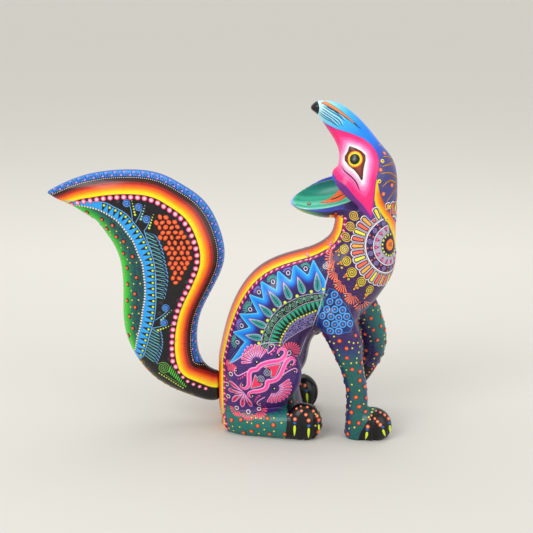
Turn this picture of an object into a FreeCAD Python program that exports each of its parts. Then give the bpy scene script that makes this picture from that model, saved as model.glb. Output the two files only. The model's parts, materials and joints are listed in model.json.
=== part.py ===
import FreeCAD, Part
import os
from collections import namedtuple

# Howling coyote carved in copal wood, in millimetres. +X is the way the chest faces, +Y is the
# animal's left, +Z is up. The origin is on the floor, in the middle plane, under the seat.
#
# The figure is first drawn as one whole form, then sawn into the blocks that it is carved from:
# body, head, lower jaw and two forelegs, each on its own hardwood dowel. The tail is a block of
# its own, and its tenon slides into a socket in the rump.

doc = FreeCAD.newDocument("howling_coyote")
sheet = doc.addObject("Spreadsheet::Sheet", "dimensions")

# ---------------------------------------------------------------- driving dimensions

# A ring is one elliptical cross-section. It leans about Y, 0 being level; deep is its half size
# in the leaning direction and wide its half size across it.
Ring = namedtuple("Ring", "place x y z lean deep wide")

SPINE = [
    Ring("seat", 6, 0, -4, 0, 38, 34),
    Ring("rump", 8, 0, 30, 0, 41, 37),
    Ring("hips", 11, 0, 64, 10, 41, 39),
    Ring("loin", 19, 0, 93, 30, 43, 40),
    Ring("waist", 38, 0, 124, 51, 42.5, 39.5),
    Ring("chest", 71, 0, 135, 60, 43, 38),
    Ring("withers", 93, 0, 152, 45, 38, 34),
    Ring("throat", 106, 0, 171, 29, 34, 30),
    Ring("neck", 108.5, 0, 193, 15, 29.5, 26.5),
    Ring("nape", 109, 0, 213, 0, 28, 25.5),
    Ring("jowl", 108.5, 0, 231, -13, 29.3, 26.5),
    Ring("crown", 106.5, 0, 247, -20, 28, 26.3),
    Ring("brow", 102, -1, 262.5, -24, 21.5, 20.5),
    Ring("bridge", 97.7, -2, 273, -30, 17.7, 16.5),
    Ring("snout", 90, -2, 285, -32, 15.3, 13.5),
    Ring("lips", 79, -1, 297.5, -32, 12.8, 11.5),
    Ring("nostrils", 69.6, 0, 304.6, -35, 9.6, 9),
    Ring("nose", 62.4, 0, 307, -39, 6.8, 6.6),
    Ring("nose_tip", 58.8, 0, 308.5, -42, 3, 2.9),
]

STANDING_LEG = [
    Ring("shoulder", 88, -26, 128, 0, 19, 14),
    Ring("elbow", 86.5, -31, 97, 0, 17.5, 13.5),
    Ring("forearm", 91, -33, 82, 0, 14, 12.5),
    Ring("shin", 96, -35, 65, 0, 11, 10.8),
    Ring("ankle", 100, -36.5, 47, 0, 10, 9.8),
    Ring("pastern", 101, -38, 30, 0, 10, 9.8),
    Ring("heel", 101, -38.5, 14, 0, 11, 10.5),
    Ring("sole", 103, -39, -3, 0, 12, 11),
]

RAISED_LEG = [
    Ring("shoulder", 93, 24, 129, -40, 18, 14),
    Ring("elbow", 108, 28, 111, -36, 16, 13),
    Ring("forearm", 117.5, 31, 93, -20, 13.5, 12.5),
    Ring("shin", 121.5, 33, 74, -3, 13, 12),
    Ring("ankle", 121, 34, 60, 15, 11, 10),
    Ring("pastern", 116.5, 34.5, 49, 35, 10, 9.8),
    Ring("paw", 108, 35, 38, 45, 11.5, 11),
    Ring("toes", 100, 35, 29, 48, 9.5, 9.4),
    Ring("toe_end", 95.5, 35, 24, 48, 4, 3.9),
]

HIND_FOOT = [
    Ring("heel_end", -25, 19, 10, 90, 7, 6.5),
    Ring("heel", -20, 22, 11, 90, 12, 11),
    Ring("hock", 8, 32, 12, 90, 14, 13),
    Ring("instep", 32, 38, 12, 90, 14, 12.5),
    Ring("paw", 50, 40, 13, 90, 14, 12),
]

TAIL = [
    Ring("seam", -29.8, 0, 37.5, -90, 14, 12),
    Ring("root", -47, 0, 42.5, -78, 17.5, 14),
    Ring("bend", -60, 0, 53, -61, 22.4, 17),
    Ring("rise", -73, 0, 71, -42, 30.8, 19),
    Ring("swell", -81, 0, 98, -22, 38, 21),
    Ring("belly", -75.5, 0, 134, -10, 45, 22.5),
    Ring("broad", -72, 0, 162, -6, 49, 23),
    Ring("shoulder", -77.5, 0, 185, -10, 50, 22.5),
    Ring("turn", -88.5, 0, 204, -18, 48.5, 21),
    Ring("arch", -101.5, 0, 216, -24, 43.5, 19.5),
    Ring("bow", -114.5, 0, 223.5, -32, 38.5, 18),
    Ring("taper", -131, 0, 228, -39, 31.5, 16),
    Ring("narrow", -147, 0, 230, -46, 23.4, 13),
    Ring("slim", -164.5, 0, 230, -52, 15.2, 9.5),
    Ring("point", -179, 0, 228, -60, 6.6, 5),
    Ring("tip", -187, 0, 227, -60, 1.5, 1.2),
]

# The jaw is drawn along the X axis of its own frame, with the roof of the mouth towards +Z.
JAW = [
    Ring("root", -4, 0, 0, -90, 24, 23.5),
    Ring("gullet", 12, 0, 0, -90, 24.5, 23),
    Ring("molars", 24, 0, 0, -90, 24, 22.3),
    Ring("chin", 36, 0, 0, -90, 22, 20),
    Ring("bowl", 46, 0, 0, -90, 18, 15.6),
    Ring("incisors", 54.5, 0, 0, -90, 13.1, 11),
    Ring("lip", 61, 0, 0, -90, 7, 6),
    Ring("tip", 64.5, 0, 0, -90, 2, 1.8),
]

# Frames of the muzzle and of the jaw: where their X axis starts and how it is turned. The head
# looks back over the rump, so both X axes point back, and it is rolled to the right.
Frame = namedtuple("Frame", "x y z yaw pitch roll")
FRAMES = {
    "muzzle": Frame(107, 0, 245.7, 174, -47, -20),
    "jaw": Frame(99, 0, 230.5, 167, 14, -38),
}

# An egg is an ellipsoid: its centre and its half sizes along X, Y and Z.
Egg = namedtuple("Egg", "x y z long wide tall")
EGGS = {
    "haunch": Egg(14, 30, 60, 35, 19, 34),
    "hind_paw": Egg(51, 41, 15, 17, 13, 19),
    "shoulder": Egg(84, 20, 122, 20, 21, 28),
    "fore_paw": Egg(115, -40, 12, 18.5, 14, 17.5),
    "mouth_bowl": Egg(25, 0, 3, 36, 17.5, 12),
    "palate": Egg(47, 0, -1, 24, 8, 5),
}

SINGLE_SIZES = {
    "saw_size": 400,
    "tail_face_x": -29.5,
    "neck_joint_z": 200,
    "standing_joint_z": 104,
    "raised_joint_z": 112,
    "leg_joint_back": 68.5,
    "leg_joint_side": 14,
    "jaw_joint_x": 12,
    "jaw_joint_depth": 30,
    "jaw_joint_air": 8,
    "gape_corner": -5,
    "gape_angle": 48,
    "tenon_radius": 6,
    "tenon_socket_radius": 6.05,
    "tenon_length": 40,
    "tenon_in_body": 24,
    "tenon_z": 37,
    "tenon_rise": 12,
    "socket_spare": 2,
    "dowel_spare": 0.5,
    "neck_dowel_radius": 5,
    "neck_dowel_length": 36,
    "neck_dowel_x": 108.5,
    "jaw_dowel_radius": 3,
    "jaw_dowel_length": 24,
    "jaw_dowel_z": -15,
    "leg_dowel_radius": 3.5,
    "leg_dowel_length": 26,
    "standing_dowel_x": 87,
    "standing_dowel_y": -30,
    "raised_dowel_x": 104,
    "raised_dowel_y": 27,
}


def enter(alias, value):
    """Puts one named number in the sheet and returns how an expression reads it."""
    enter.row += 1
    sheet.set(f"A{enter.row}", alias)
    sheet.set(f"B{enter.row}", str(value))
    sheet.setAlias(f"B{enter.row}", alias)
    return f"dimensions.{alias}"


enter.row = 0


def enter_fields(prefix, item):
    """Puts every number of a ring, frame or egg in the sheet, each under its own alias."""
    return {field: enter(f"{prefix}_{field}", value)
            for field, value in item._asdict().items() if field != "place"}


frame_cells = {name: enter_fields(f"{name}_frame", frame) for name, frame in FRAMES.items()}
egg_cells = {name: enter_fields(f"{name}_egg", egg) for name, egg in EGGS.items()}
size = {name: enter(name, value) for name, value in SINGLE_SIZES.items()}


# ---------------------------------------------------------------- building blocks

def bind(item, **expressions):
    """Binds an object's properties to expressions on the sheet."""
    for name, expression in expressions.items():
        item.setExpression(name, expression)
    return item


def placed(x="0", y="0", z="0", turn="rotation(vector(0; 1; 0); 0)"):
    """Expression for a placement at x, y, z with a turn."""
    return f"placement(vector({x}; {y}; {z}); {turn})"


def about_y(angle):
    return f"rotation(vector(0; 1; 0); {angle})"


def in_frame(name, inner="placement(vector(0; 0; 0); rotation(vector(0; 1; 0); 0))"):
    """Expression for a placement given inside the muzzle's or the jaw's own frame."""
    cells = frame_cells[name]
    turn = f"rotation({cells['yaw']}; {cells['pitch']}; {cells['roll']})"
    return f"{placed(cells['x'], cells['y'], cells['z'], turn)} * {inner}"


def loft(name, rings, frame=None, mirrored=False):
    """Skin over a row of elliptical rings, in the world or in one of the frames."""
    sections = []
    for ring in rings:
        cells = enter_fields(f"{name}_{ring.place}", ring)
        section = doc.addObject("Part::Ellipse", f"{name}_{ring.place}")
        section.MajorRadius = ring.deep
        section.MinorRadius = ring.wide
        side = f"-{cells['y']}" if mirrored else cells["y"]
        inner = placed(cells["x"], side, cells["z"], about_y(cells["lean"]))
        bind(section, MajorRadius=cells["deep"], MinorRadius=cells["wide"],
             Placement=in_frame(frame, inner) if frame else inner)
        sections.append(section)
    skin = doc.addObject("Part::Loft", name)
    skin.Sections = sections
    skin.Solid = True
    skin.Ruled = False
    return skin


def egg(name, kind, frame=None, mirrored=False):
    """Ellipsoid bound to its row of the sheet."""
    cells = egg_cells[kind]
    item = doc.addObject("Part::Ellipsoid", name)
    side = f"-{cells['y']}" if mirrored else cells["y"]
    inner = placed(cells["x"], side, cells["z"])
    bind(item, Radius1=cells["tall"], Radius2=cells["long"], Radius3=cells["wide"],
         Placement=in_frame(frame, inner) if frame else inner)
    return item


def saw(name, placement, length=size["saw_size"], width=size["saw_size"],
        height=size["saw_size"]):
    """Box that stands for one side of a saw cut."""
    item = doc.addObject("Part::Box", name)
    return bind(item, Length=length, Width=width, Height=height, Placement=placement)


def rod(name, radius, length, placement):
    item = doc.addObject("Part::Cylinder", name)
    return bind(item, Radius=radius, Height=length, Placement=placement)


def fused(name, pieces):
    item = doc.addObject("Part::MultiFuse", name)
    item.Shapes = pieces
    return item


def without(name, base, tool):
    item = doc.addObject("Part::Cut", name)
    item.Base = base
    item.Tool = tool
    return item


def common(name, first, second):
    item = doc.addObject("Part::MultiCommon", name)
    item.Shapes = [first, second]
    return item


# ---------------------------------------------------------------- the whole form

half = f"{size['saw_size']} / 2"


def whole_form():
    """Trunk with neck and head, jaw and legs as one form, before it is sawn and carved."""
    return fused("whole_form", [
        loft("spine", SPINE),
        loft("jaw", JAW, frame="jaw"),
        egg("haunch_left", "haunch"),
        egg("haunch_right", "haunch", mirrored=True),
        loft("hind_foot_left", HIND_FOOT),
        loft("hind_foot_right", HIND_FOOT, mirrored=True),
        egg("hind_paw_left", "hind_paw"),
        egg("hind_paw_right", "hind_paw", mirrored=True),
        egg("shoulder_left", "shoulder"),
        egg("shoulder_right", "shoulder", mirrored=True),
        loft("standing_leg", STANDING_LEG),
        egg("fore_paw", "fore_paw"),
        loft("raised_leg", RAISED_LEG),
    ])


def gape():
    """Wedge of air between the lips: above the jaw's lip plane, below the palate's line."""
    corner = size["gape_corner"]
    above_lip = saw("above_lip", in_frame("jaw", placed(corner, f"-{half}")))
    below_palate = saw("below_palate", in_frame("jaw", (
        placed(corner, f"-{half}", "0", about_y(f"-{size['gape_angle']}"))
        + f" * {placed('0', '0', '-' + size['saw_size'])}")))
    return common("gape", above_lip, below_palate)


def standing_form():
    """The whole form with its floor sawn flat and its tail face cut."""
    floor = saw("floor", placed(f"-{half}", f"-{half}", f"-{size['saw_size']}"))
    tail_face = saw("tail_face",
                    placed(f"{size['tail_face_x']} - {size['saw_size']}", f"-{half}", f"-{half}"))
    return without("standing_form", without("floored", whole_form(), floor), tail_face)


def open_mouth(block):
    """Carves the gape, the bowl of the jaw and the palate out of the head block."""
    cutters = [
        gape(),
        egg("mouth_bowl", "mouth_bowl", frame="jaw"),
        egg("palate", "palate", frame="muzzle"),
    ]
    for number, cutter in enumerate(cutters, start=1):
        block = without(f"mouth_cut_{number}", block, cutter)
    return block


# ---------------------------------------------------------------- sawing into blocks

form = standing_form()

head_side = saw("head_side", placed(f"-{half}", f"-{half}", size["neck_joint_z"]))
jaw_side = saw("jaw_side", in_frame("jaw", placed(
    size["jaw_joint_x"], f"-{half}", f"-{size['jaw_joint_depth']}")),
    height=f"{size['jaw_joint_depth']} + {size['jaw_joint_air']}")
standing_side = saw("standing_side", placed(
    size["leg_joint_back"], f"-{size['leg_joint_side']} - {size['saw_size']}",
    f"{size['standing_joint_z']} - {size['saw_size']}"))
raised_side = saw("raised_side", placed(
    size["leg_joint_back"], size["leg_joint_side"],
    f"{size['raised_joint_z']} - {size['saw_size']}"))

head_and_jaw = open_mouth(common("head_and_jaw", form, head_side))
head_block = without("head_block", head_and_jaw, jaw_side)
jaw_block = common("jaw_block", head_and_jaw, jaw_side)
standing_block = common("standing_block", form, standing_side)
raised_block = common("raised_block", form, raised_side)
body_block = form
for number, side in enumerate([head_side, standing_side, raised_side], start=1):
    body_block = without(f"body_cut_{number}", body_block, side)
tail_block = loft("tail_block", TAIL)


# ---------------------------------------------------------------- dowels, tenon and their holes

def vertical_pin(name, radius, length, x, y, joint_z, spare="0"):
    """Upright pin centred on a level joint; spare lengthens it at both ends for a hole."""
    bottom = f"{joint_z} - {length} / 2 - {spare}"
    return rod(name, radius, f"{length} + 2 * {spare}", placed(x, y, bottom))


def jaw_pin(name, spare="0"):
    """Pin along the jaw's own X axis, centred on the jaw joint."""
    start = f"{size['jaw_joint_x']} - {size['jaw_dowel_length']} / 2 - {spare}"
    return rod(name, size["jaw_dowel_radius"], f"{size['jaw_dowel_length']} + 2 * {spare}",
               in_frame("jaw", placed(start, "0", size["jaw_dowel_z"], about_y("90"))))


def tenon_rod(name, radius, start, length):
    """Rod on the tenon's axis, which rises away from the rump; start counts from the tail face."""
    turn = about_y(f"{size['tenon_rise']} - 90")
    axis = placed(size["tail_face_x"], "0", size["tenon_z"], turn)
    return rod(name, radius, length, f"{axis} * {placed('0', '0', start)}")


def tenon_slot(name, base, radius, length, start):
    return without(name, base, tenon_rod(f"{name}_bore", radius, start, length))


spare = size["dowel_spare"]
neck_pin = (size["neck_dowel_radius"], size["neck_dowel_length"], size["neck_dowel_x"], "0",
            size["neck_joint_z"])
standing_pin = (size["leg_dowel_radius"], size["leg_dowel_length"], size["standing_dowel_x"],
                size["standing_dowel_y"], size["standing_joint_z"])
raised_pin = (size["leg_dowel_radius"], size["leg_dowel_length"], size["raised_dowel_x"],
              size["raised_dowel_y"], size["raised_joint_z"])

neck_hole = vertical_pin("neck_hole", *neck_pin, spare)
standing_hole = vertical_pin("standing_hole", *standing_pin, spare)
raised_hole = vertical_pin("raised_hole", *raised_pin, spare)
jaw_hole = jaw_pin("jaw_hole", spare)
in_body = size["tenon_in_body"]
socket_depth = f"{in_body} + {size['socket_spare']}"
tail_socket = tenon_rod("tail_socket", size["tenon_socket_radius"], f"-({socket_depth})",
                        f"{socket_depth} + 10")

nodes = {
    "body": without("body", body_block, fused("body_holes", [
        neck_hole, standing_hole, raised_hole, tail_socket])),
    "head": without("head", head_block, fused("head_holes", [neck_hole, jaw_hole])),
    "lower_jaw": without("lower_jaw", jaw_block, jaw_hole),
    "standing_foreleg": without("standing_foreleg", standing_block, standing_hole),
    "raised_foreleg": without("raised_foreleg", raised_block, raised_hole),
    "tail": tenon_slot("tail", tail_block, size["tenon_radius"],
                       f"{size['tenon_length']} - {in_body} + {spare} + 5", "-5"),
    "tail_tenon": tenon_rod("tail_tenon", size["tenon_radius"], f"-{in_body}",
                            size["tenon_length"]),
    "neck_dowel": vertical_pin("neck_dowel", *neck_pin),
    "jaw_dowel": jaw_pin("jaw_dowel"),
    "standing_foreleg_dowel": vertical_pin("standing_foreleg_dowel", *standing_pin),
    "raised_foreleg_dowel": vertical_pin("raised_foreleg_dowel", *raised_pin),
}

# ---------------------------------------------------------------- check and write

doc.recompute()

for item in doc.Objects:
    if {"Invalid", "Error"} & set(item.State):
        raise RuntimeError(f"{item.Label} failed: {item.State}")

os.makedirs("parts", exist_ok=True)
for label, item in nodes.items():
    shape = item.Shape
    if shape.isNull() or not shape.isValid():
        raise RuntimeError(f"{label} has no valid shape")
    if len(shape.Solids) != 1:
        raise RuntimeError(f"{label} is {len(shape.Solids)} solids, not one")
    item.Label = label
    shape.exportStep(os.path.join("parts", f"{label}.step"))
    print(f"{label}: {shape.Volume / 1000:.1f} cm3, box {shape.BoundBox}")
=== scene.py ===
# %% [markdown]
# # Howling coyote in painted copal wood
# The real figure is carved with a machete and knives from blocks of soft copal wood, sanded,
# primed, and painted all over with acrylics: wide bands first, then hundreds of raised dots,
# strokes and petals laid with a fine brush, and a varnish on top. This lesson follows the same
# order: skin, carving, coats of colour, raised paint, varnish, studio.

# %% Load the carved frame
import json
import math
import random

import bmesh
import bpy
import numpy as np
from mathutils import Matrix, Vector
from mathutils.bvhtree import BVHTree

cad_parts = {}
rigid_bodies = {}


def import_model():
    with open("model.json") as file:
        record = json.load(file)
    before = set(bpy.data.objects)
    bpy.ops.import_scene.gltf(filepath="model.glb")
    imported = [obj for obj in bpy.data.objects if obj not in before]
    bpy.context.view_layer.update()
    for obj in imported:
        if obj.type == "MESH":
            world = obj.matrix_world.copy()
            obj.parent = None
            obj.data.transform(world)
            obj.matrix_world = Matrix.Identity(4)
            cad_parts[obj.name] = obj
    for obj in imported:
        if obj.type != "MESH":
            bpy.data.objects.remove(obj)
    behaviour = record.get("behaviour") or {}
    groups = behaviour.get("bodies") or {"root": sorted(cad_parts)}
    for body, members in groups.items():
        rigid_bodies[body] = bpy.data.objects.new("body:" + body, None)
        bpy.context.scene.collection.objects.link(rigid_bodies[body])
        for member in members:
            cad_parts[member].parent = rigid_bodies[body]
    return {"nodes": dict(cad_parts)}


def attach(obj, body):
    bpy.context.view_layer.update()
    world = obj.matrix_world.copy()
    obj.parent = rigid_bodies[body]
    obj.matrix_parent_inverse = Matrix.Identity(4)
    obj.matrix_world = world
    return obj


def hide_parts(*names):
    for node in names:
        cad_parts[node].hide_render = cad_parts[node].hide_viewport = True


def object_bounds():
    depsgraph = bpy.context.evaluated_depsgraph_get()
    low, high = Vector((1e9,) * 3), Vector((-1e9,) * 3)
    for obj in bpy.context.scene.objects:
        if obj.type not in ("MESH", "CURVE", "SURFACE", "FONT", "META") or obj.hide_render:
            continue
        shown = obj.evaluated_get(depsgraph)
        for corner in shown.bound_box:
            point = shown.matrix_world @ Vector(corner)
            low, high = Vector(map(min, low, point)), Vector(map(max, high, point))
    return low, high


for stray in list(bpy.data.objects):
    bpy.data.objects.remove(stray)
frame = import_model()
cad_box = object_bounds()
scene = bpy.context.scene
MM = 0.001
random.seed(11)
print("pieces of the carving:", sorted(frame["nodes"]))

# %% [markdown]
# ## The viewpoint
# A long lens far away keeps the figure's proportions calm, as in a catalogue picture. The camera
# is placed from the figure's own box, so it follows if the carving changes size.

# %% Camera
low, high = (np.array(corner) for corner in cad_box)
AIM_SHARE = np.array([0.6266, 0.5, 0.4992])
CAMERA_DISTANCE = 1.085
CAMERA_RISE = math.radians(14)
aim = Vector(low + (high - low) * AIM_SHARE)
back = Vector((0, -math.cos(CAMERA_RISE), math.sin(CAMERA_RISE)))
camera_data = bpy.data.cameras.new("catalogue_camera")
camera_data.sensor_width = 36
camera_data.lens = 77.7
camera = bpy.data.objects.new("catalogue_camera", camera_data)
camera.location = aim + back * CAMERA_DISTANCE
camera.rotation_euler = (-back).to_track_quat("-Z", "Y").to_euler()
scene.collection.objects.link(camera)
scene.camera = camera
print("the camera looks at", [round(v, 3) for v in aim])

# %% [markdown]
# ## One even skin
# The carver glues the blocks, then sands over the joints until they vanish under the paint. The
# CAD pieces are copied into one mesh and voxel remeshed, which melts the joints away and gives a
# fine, even net of points that can be carved further and can hold painted boundaries.

# %% Remesh the blocks as one skin
def into_scene(name, data):
    """Makes an object from a mesh or a lamp and puts it in the scene."""
    thing = bpy.data.objects.new(name, data)
    scene.collection.objects.link(thing)
    return thing


def even_skin(name, nodes, grain_mm, sanding):
    """Copies CAD pieces into one mesh with an even net, in millimetres."""
    joined = bmesh.new()
    for node in nodes:
        joined.from_mesh(frame["nodes"][node].data)
    mesh = bpy.data.meshes.new(name)
    joined.to_mesh(mesh)
    joined.free()
    blank = into_scene(name, mesh)
    remesh = blank.modifiers.new("one_skin", "REMESH")
    remesh.mode = "VOXEL"
    remesh.voxel_size = grain_mm * MM
    sand = blank.modifiers.new("sanding", "SMOOTH")
    sand.factor = 0.5
    sand.iterations = sanding
    bpy.context.view_layer.update()
    seen = blank.evaluated_get(bpy.context.evaluated_depsgraph_get())
    skin = bpy.data.meshes.new_from_object(seen)
    bpy.data.objects.remove(blank)
    skin.transform(Matrix.Scale(1 / MM, 4))
    print(name, "has", len(skin.vertices), "points")
    return skin


FIGURE_BLOCKS = ["body", "head", "lower_jaw", "standing_foreleg", "raised_foreleg"]
NECK_SEAM = 200
STANDING_SEAM, RAISED_SEAM = 104, 112
LEG_BACK, LEG_INNER = 68.5, 14
JAW_SEAM, JAW_ROOF = 12, 8
figure_skin = even_skin("figure_skin", FIGURE_BLOCKS, 1.0, 5)
tail_skin = even_skin("tail_skin", ["tail"], 1.1, 5)


def points_of(mesh):
    flat = np.zeros(len(mesh.vertices) * 3)
    mesh.vertices.foreach_get("co", flat)
    return flat.reshape(-1, 3)


def normals_of(mesh):
    return np.array([v.normal[:] for v in mesh.vertices])


# %% [markdown]
# ## Toes and paw creases
# The toes are cut with a V gouge after the paw is rounded. Here the points near each cut are
# pushed in along a smooth valley. The cuts fan out from the middle of the paw, and fade out
# before they reach its top.

# %% Gouge the toes
CUT_WIDTH = 2.6
CUT_DEPTH = 2.0


def gouge_paw(points, middle, headings, reach, top):
    """Presses a valley into a paw along each heading, in degrees from +X in the floor plan."""
    offset = points[:, :2] - np.array(middle)
    near = (np.hypot(*offset.T) < reach) & (points[:, 2] < top)
    for heading in headings:
        along = np.array([math.cos(math.radians(heading)), math.sin(math.radians(heading))])
        forward = offset @ along
        sideways = offset @ np.array([-along[1], along[0]])
        valley = np.clip(1 - (sideways / CUT_WIDTH) ** 2, 0, 1) ** 2
        valley *= np.clip(forward / 6, 0, 1) * near
        valley *= np.clip((top - points[:, 2]) / (0.45 * top), 0, 1)
        points[:, :2] -= np.outer(valley * CUT_DEPTH, along)


figure_points = points_of(figure_skin)
HIND_PAW = (51, 41)
FORE_PAW = (115, -40)
gouge_paw(figure_points, (HIND_PAW[0], -HIND_PAW[1]), (-103, -40, 25), 24, 27)
gouge_paw(figure_points, HIND_PAW, (103, 40, -25), 24, 27)
gouge_paw(figure_points, FORE_PAW, (-82, -22, 35), 26, 24)

HANGING_SIDE, HANGING_TOP, HANGING_REACH = 16, 46, (72, 122)
HANGING_MIDDLE = np.array([104, 38])
CREASES = (31.0, 39.0)
CREASE_DEPTH, CREASE_FADE = 1.3, 12
hanging = (figure_points[:, 1] > HANGING_SIDE) & (figure_points[:, 2] < HANGING_TOP)
hanging &= (figure_points[:, 0] > HANGING_REACH[0]) & (figure_points[:, 0] < HANGING_REACH[1])
for crease in CREASES:
    valley = np.clip(1 - ((figure_points[:, 1] - crease) / CUT_WIDTH) ** 2, 0, 1) ** 2 * hanging
    valley *= np.clip((HANGING_TOP - figure_points[:, 2]) / CREASE_FADE, 0, 1)
    outward = figure_points[:, [0, 2]] - HANGING_MIDDLE
    outward /= np.maximum(np.hypot(*outward.T), 1e-6)[:, None]
    figure_points[:, [0, 2]] -= outward * (valley * CREASE_DEPTH)[:, None]
figure_skin.vertices.foreach_set("co", figure_points.ravel())
figure_skin.update()
figure_normals = normals_of(figure_skin)
tail_points = points_of(tail_skin)
print("gouged three paws and the hanging one")

# %% [markdown]
# ## Rulers on the surface
# Painted zones need sharp edges and blends that follow them. Each zone is an outline in the side
# view, and every point of the skin stores how deep inside the outline it is, in millimetres. A
# shader can then put a crisp edge at zero and run a colour blend from the edge inwards.

# %% Distance rulers
def segments(line, closed):
    a = np.array(line, float)
    b = np.roll(a, -1, axis=0)
    return (a, b) if closed else (a[:-1], b[:-1])


def nearest_on(points, line, closed=False):
    """Distance to a line and how far along it the nearest spot is, both in millimetres."""
    a, b = segments(line, closed)
    best = np.full(len(points), 1e9)
    along = np.zeros(len(points))
    travelled = 0.0
    for start, end in zip(a, b):
        edge = end - start
        length = max(float(np.hypot(*edge)), 1e-9)
        share = np.clip((points - start) @ edge / length ** 2, 0, 1)
        gap = np.hypot(*(points - start - share[:, None] * edge).T)
        closer = gap < best
        best = np.where(closer, gap, best)
        along = np.where(closer, travelled + share * length, along)
        travelled += length
    return best, along


def depth_inside(points, outline):
    """How deep inside an outline each side-view point lies; negative is outside."""
    gap, _ = nearest_on(points, outline, closed=True)
    a, b = segments(outline, True)
    inside = np.zeros(len(points), bool)
    for start, end in zip(a, b):
        spans = (start[1] > points[:, 1]) != (end[1] > points[:, 1])
        rise = end[1] - start[1] or 1e-9
        crossing = start[0] + (points[:, 1] - start[1]) * (end[0] - start[0]) / rise
        inside ^= spans & (points[:, 0] < crossing)
    return np.where(inside, gap, -gap)


def tree_of(mesh):
    corners = [list(polygon.vertices) for polygon in mesh.polygons]
    return BVHTree.FromPolygons([v.co for v in mesh.vertices], corners)


figure_tree = tree_of(figure_skin)
tail_tree = tree_of(tail_skin)


def smooth_line(line, step=1.0, closed=False):
    """Rounds a row of 2-D points with a Catmull-Rom curve, sampled about every step mm."""
    count = len(line)
    row = []
    for k in range(count if closed else count - 1):
        picks = [(k + j) % count if closed else min(max(k + j, 0), count - 1)
                 for j in (-1, 0, 1, 2)]
        p0, p1, p2, p3 = (np.array(line[i], float) for i in picks)
        pieces = max(1, int(math.ceil(np.hypot(*(p2 - p1)) / step)))
        for j in range(pieces):
            t = j / pieces
            row.append(0.5 * (2 * p1 + (p2 - p0) * t + (2 * p0 - 5 * p1 + 4 * p2 - p3) * t ** 2
                              + (3 * p1 - p0 - 3 * p2 + p3) * t ** 3))
    if not closed:
        row.append(np.array(line[-1], float))
    return row


def edge_line(tree, spine, hand, start, socket=(0, 0)):
    """Casts back to a spine from outside and keeps where the wood begins, socket left out."""
    row = smooth_line(spine, 4.0)
    edge = []
    for k, spot in enumerate(row):
        ahead = row[min(k + 1, len(row) - 1)] - row[max(k - 1, 0)]
        aside = Vector((-ahead[1], 0, ahead[0])).normalized() * hand
        outside = Vector((spot[0], 0, spot[1])) + aside * start
        hit = tree.ray_cast(outside, -aside)[0]
        if hit is not None and not socket[0] < hit.z < socket[1]:
            edge.append((hit.x, hit.z))
    return edge


BACK_SPINE = [(6, 2), (8, 30), (11, 64), (19, 93), (38, 124), (71, 135), (93, 152), (106, 171),
              (108.5, 188), (109, 199)]
TAIL_SPINE = [(-31, 37.6), (-47, 42.5), (-60, 53), (-73, 71), (-81, 98), (-75.5, 134), (-72, 162),
              (-77.5, 185), (-88.5, 204), (-101.5, 216), (-114.5, 223.5), (-131, 228),
              (-147, 230), (-164.5, 230), (-179, 228), (-186, 227)]
SOCKET_HEIGHTS = (18, 56)
back_ridge = edge_line(figure_tree, BACK_SPINE, 1, 80, SOCKET_HEIGHTS)
back_ridge[0] = (back_ridge[0][0], -2)
back_ridge.append((back_ridge[-1][0] + 0.6, 206))
tail_outer = edge_line(tail_tree, TAIL_SPINE, -1, 58)
tail_inner = edge_line(tail_tree, TAIL_SPINE, 1, 58)


ROOT_X, ROOT_TOP = -47, 75
ROOT_RUN = 18
ROOT_WAY = (0.905, -0.425)


def run_on(edge):
    """Carries an edge of the tail straight on into its root, past the flat end of the wood."""
    kept = [spot for spot in edge if spot[0] < ROOT_X or spot[1] > ROOT_TOP]
    return [(kept[0][0] + ROOT_WAY[0] * ROOT_RUN, kept[0][1] + ROOT_WAY[1] * ROOT_RUN)] + kept


tail_outer, tail_inner = run_on(tail_outer), run_on(tail_inner)


def ridge_share(heights):
    """The back's bands are narrower low on the rump, where the wood turns away."""
    return np.interp(heights, (0, 60, 80, 112, 175, 195), (0.68, 0.66, 0.68, 0.7, 0.72, 0.9))


print("the back ridge has", len(back_ridge), "points, the tail's rim", len(tail_outer))

# %% [markdown]
# ## Outlines of the painted zones
# The main shapes of the painting, in millimetres in the side view: along and up. The same
# outlines serve both flanks.

# %% Zones of the figure
ZIGZAG = [(-19, 71), (-4, 92), (-16, 98), (0, 106), (-10, 116), (8, 120), (-1, 135), (13, 133),
          (10, 148), (25, 142), (26, 158), (38, 150), (41, 164), (54, 155), (59, 168), (70, 151),
          (70, 143)]
ARCH_TOP = [(9, 84), (11, 92), (14, 105), (21, 118), (29, 127), (39, 133), (51, 138), (68, 140)]
ARCH_MIDDLE = [(17, 84), (18, 92), (20, 100), (25, 111), (35, 120), (49, 129), (66, 134)]
ARCH_BEADS = [(28, 90), (29, 95), (31, 100), (34, 105), (38, 111), (45, 116), (52, 119), (61, 123)]
ARCH_LOW = [(31, 86), (32, 92), (36, 96), (46, 101.5), (59, 108)]
FLANK_BORDER = [(75, 172), (73, 157), (68, 140), (64, 125), (59, 108)]
HAUNCH_TOP = [(-32, 58), (-24, 66), (-13, 75), (0, 85), (11, 91), (19, 93), (30, 93)]
FOOT_TOP = [(-34, 29), (-22, 27), (-8, 23), (17, 24), (30, 26), (38, 31), (44, 40)]


def belly_band(arch):
    """Closes an arch round the belly below it."""
    return arch + [(59, 104), (40, 70), (5, 70)]


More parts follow.
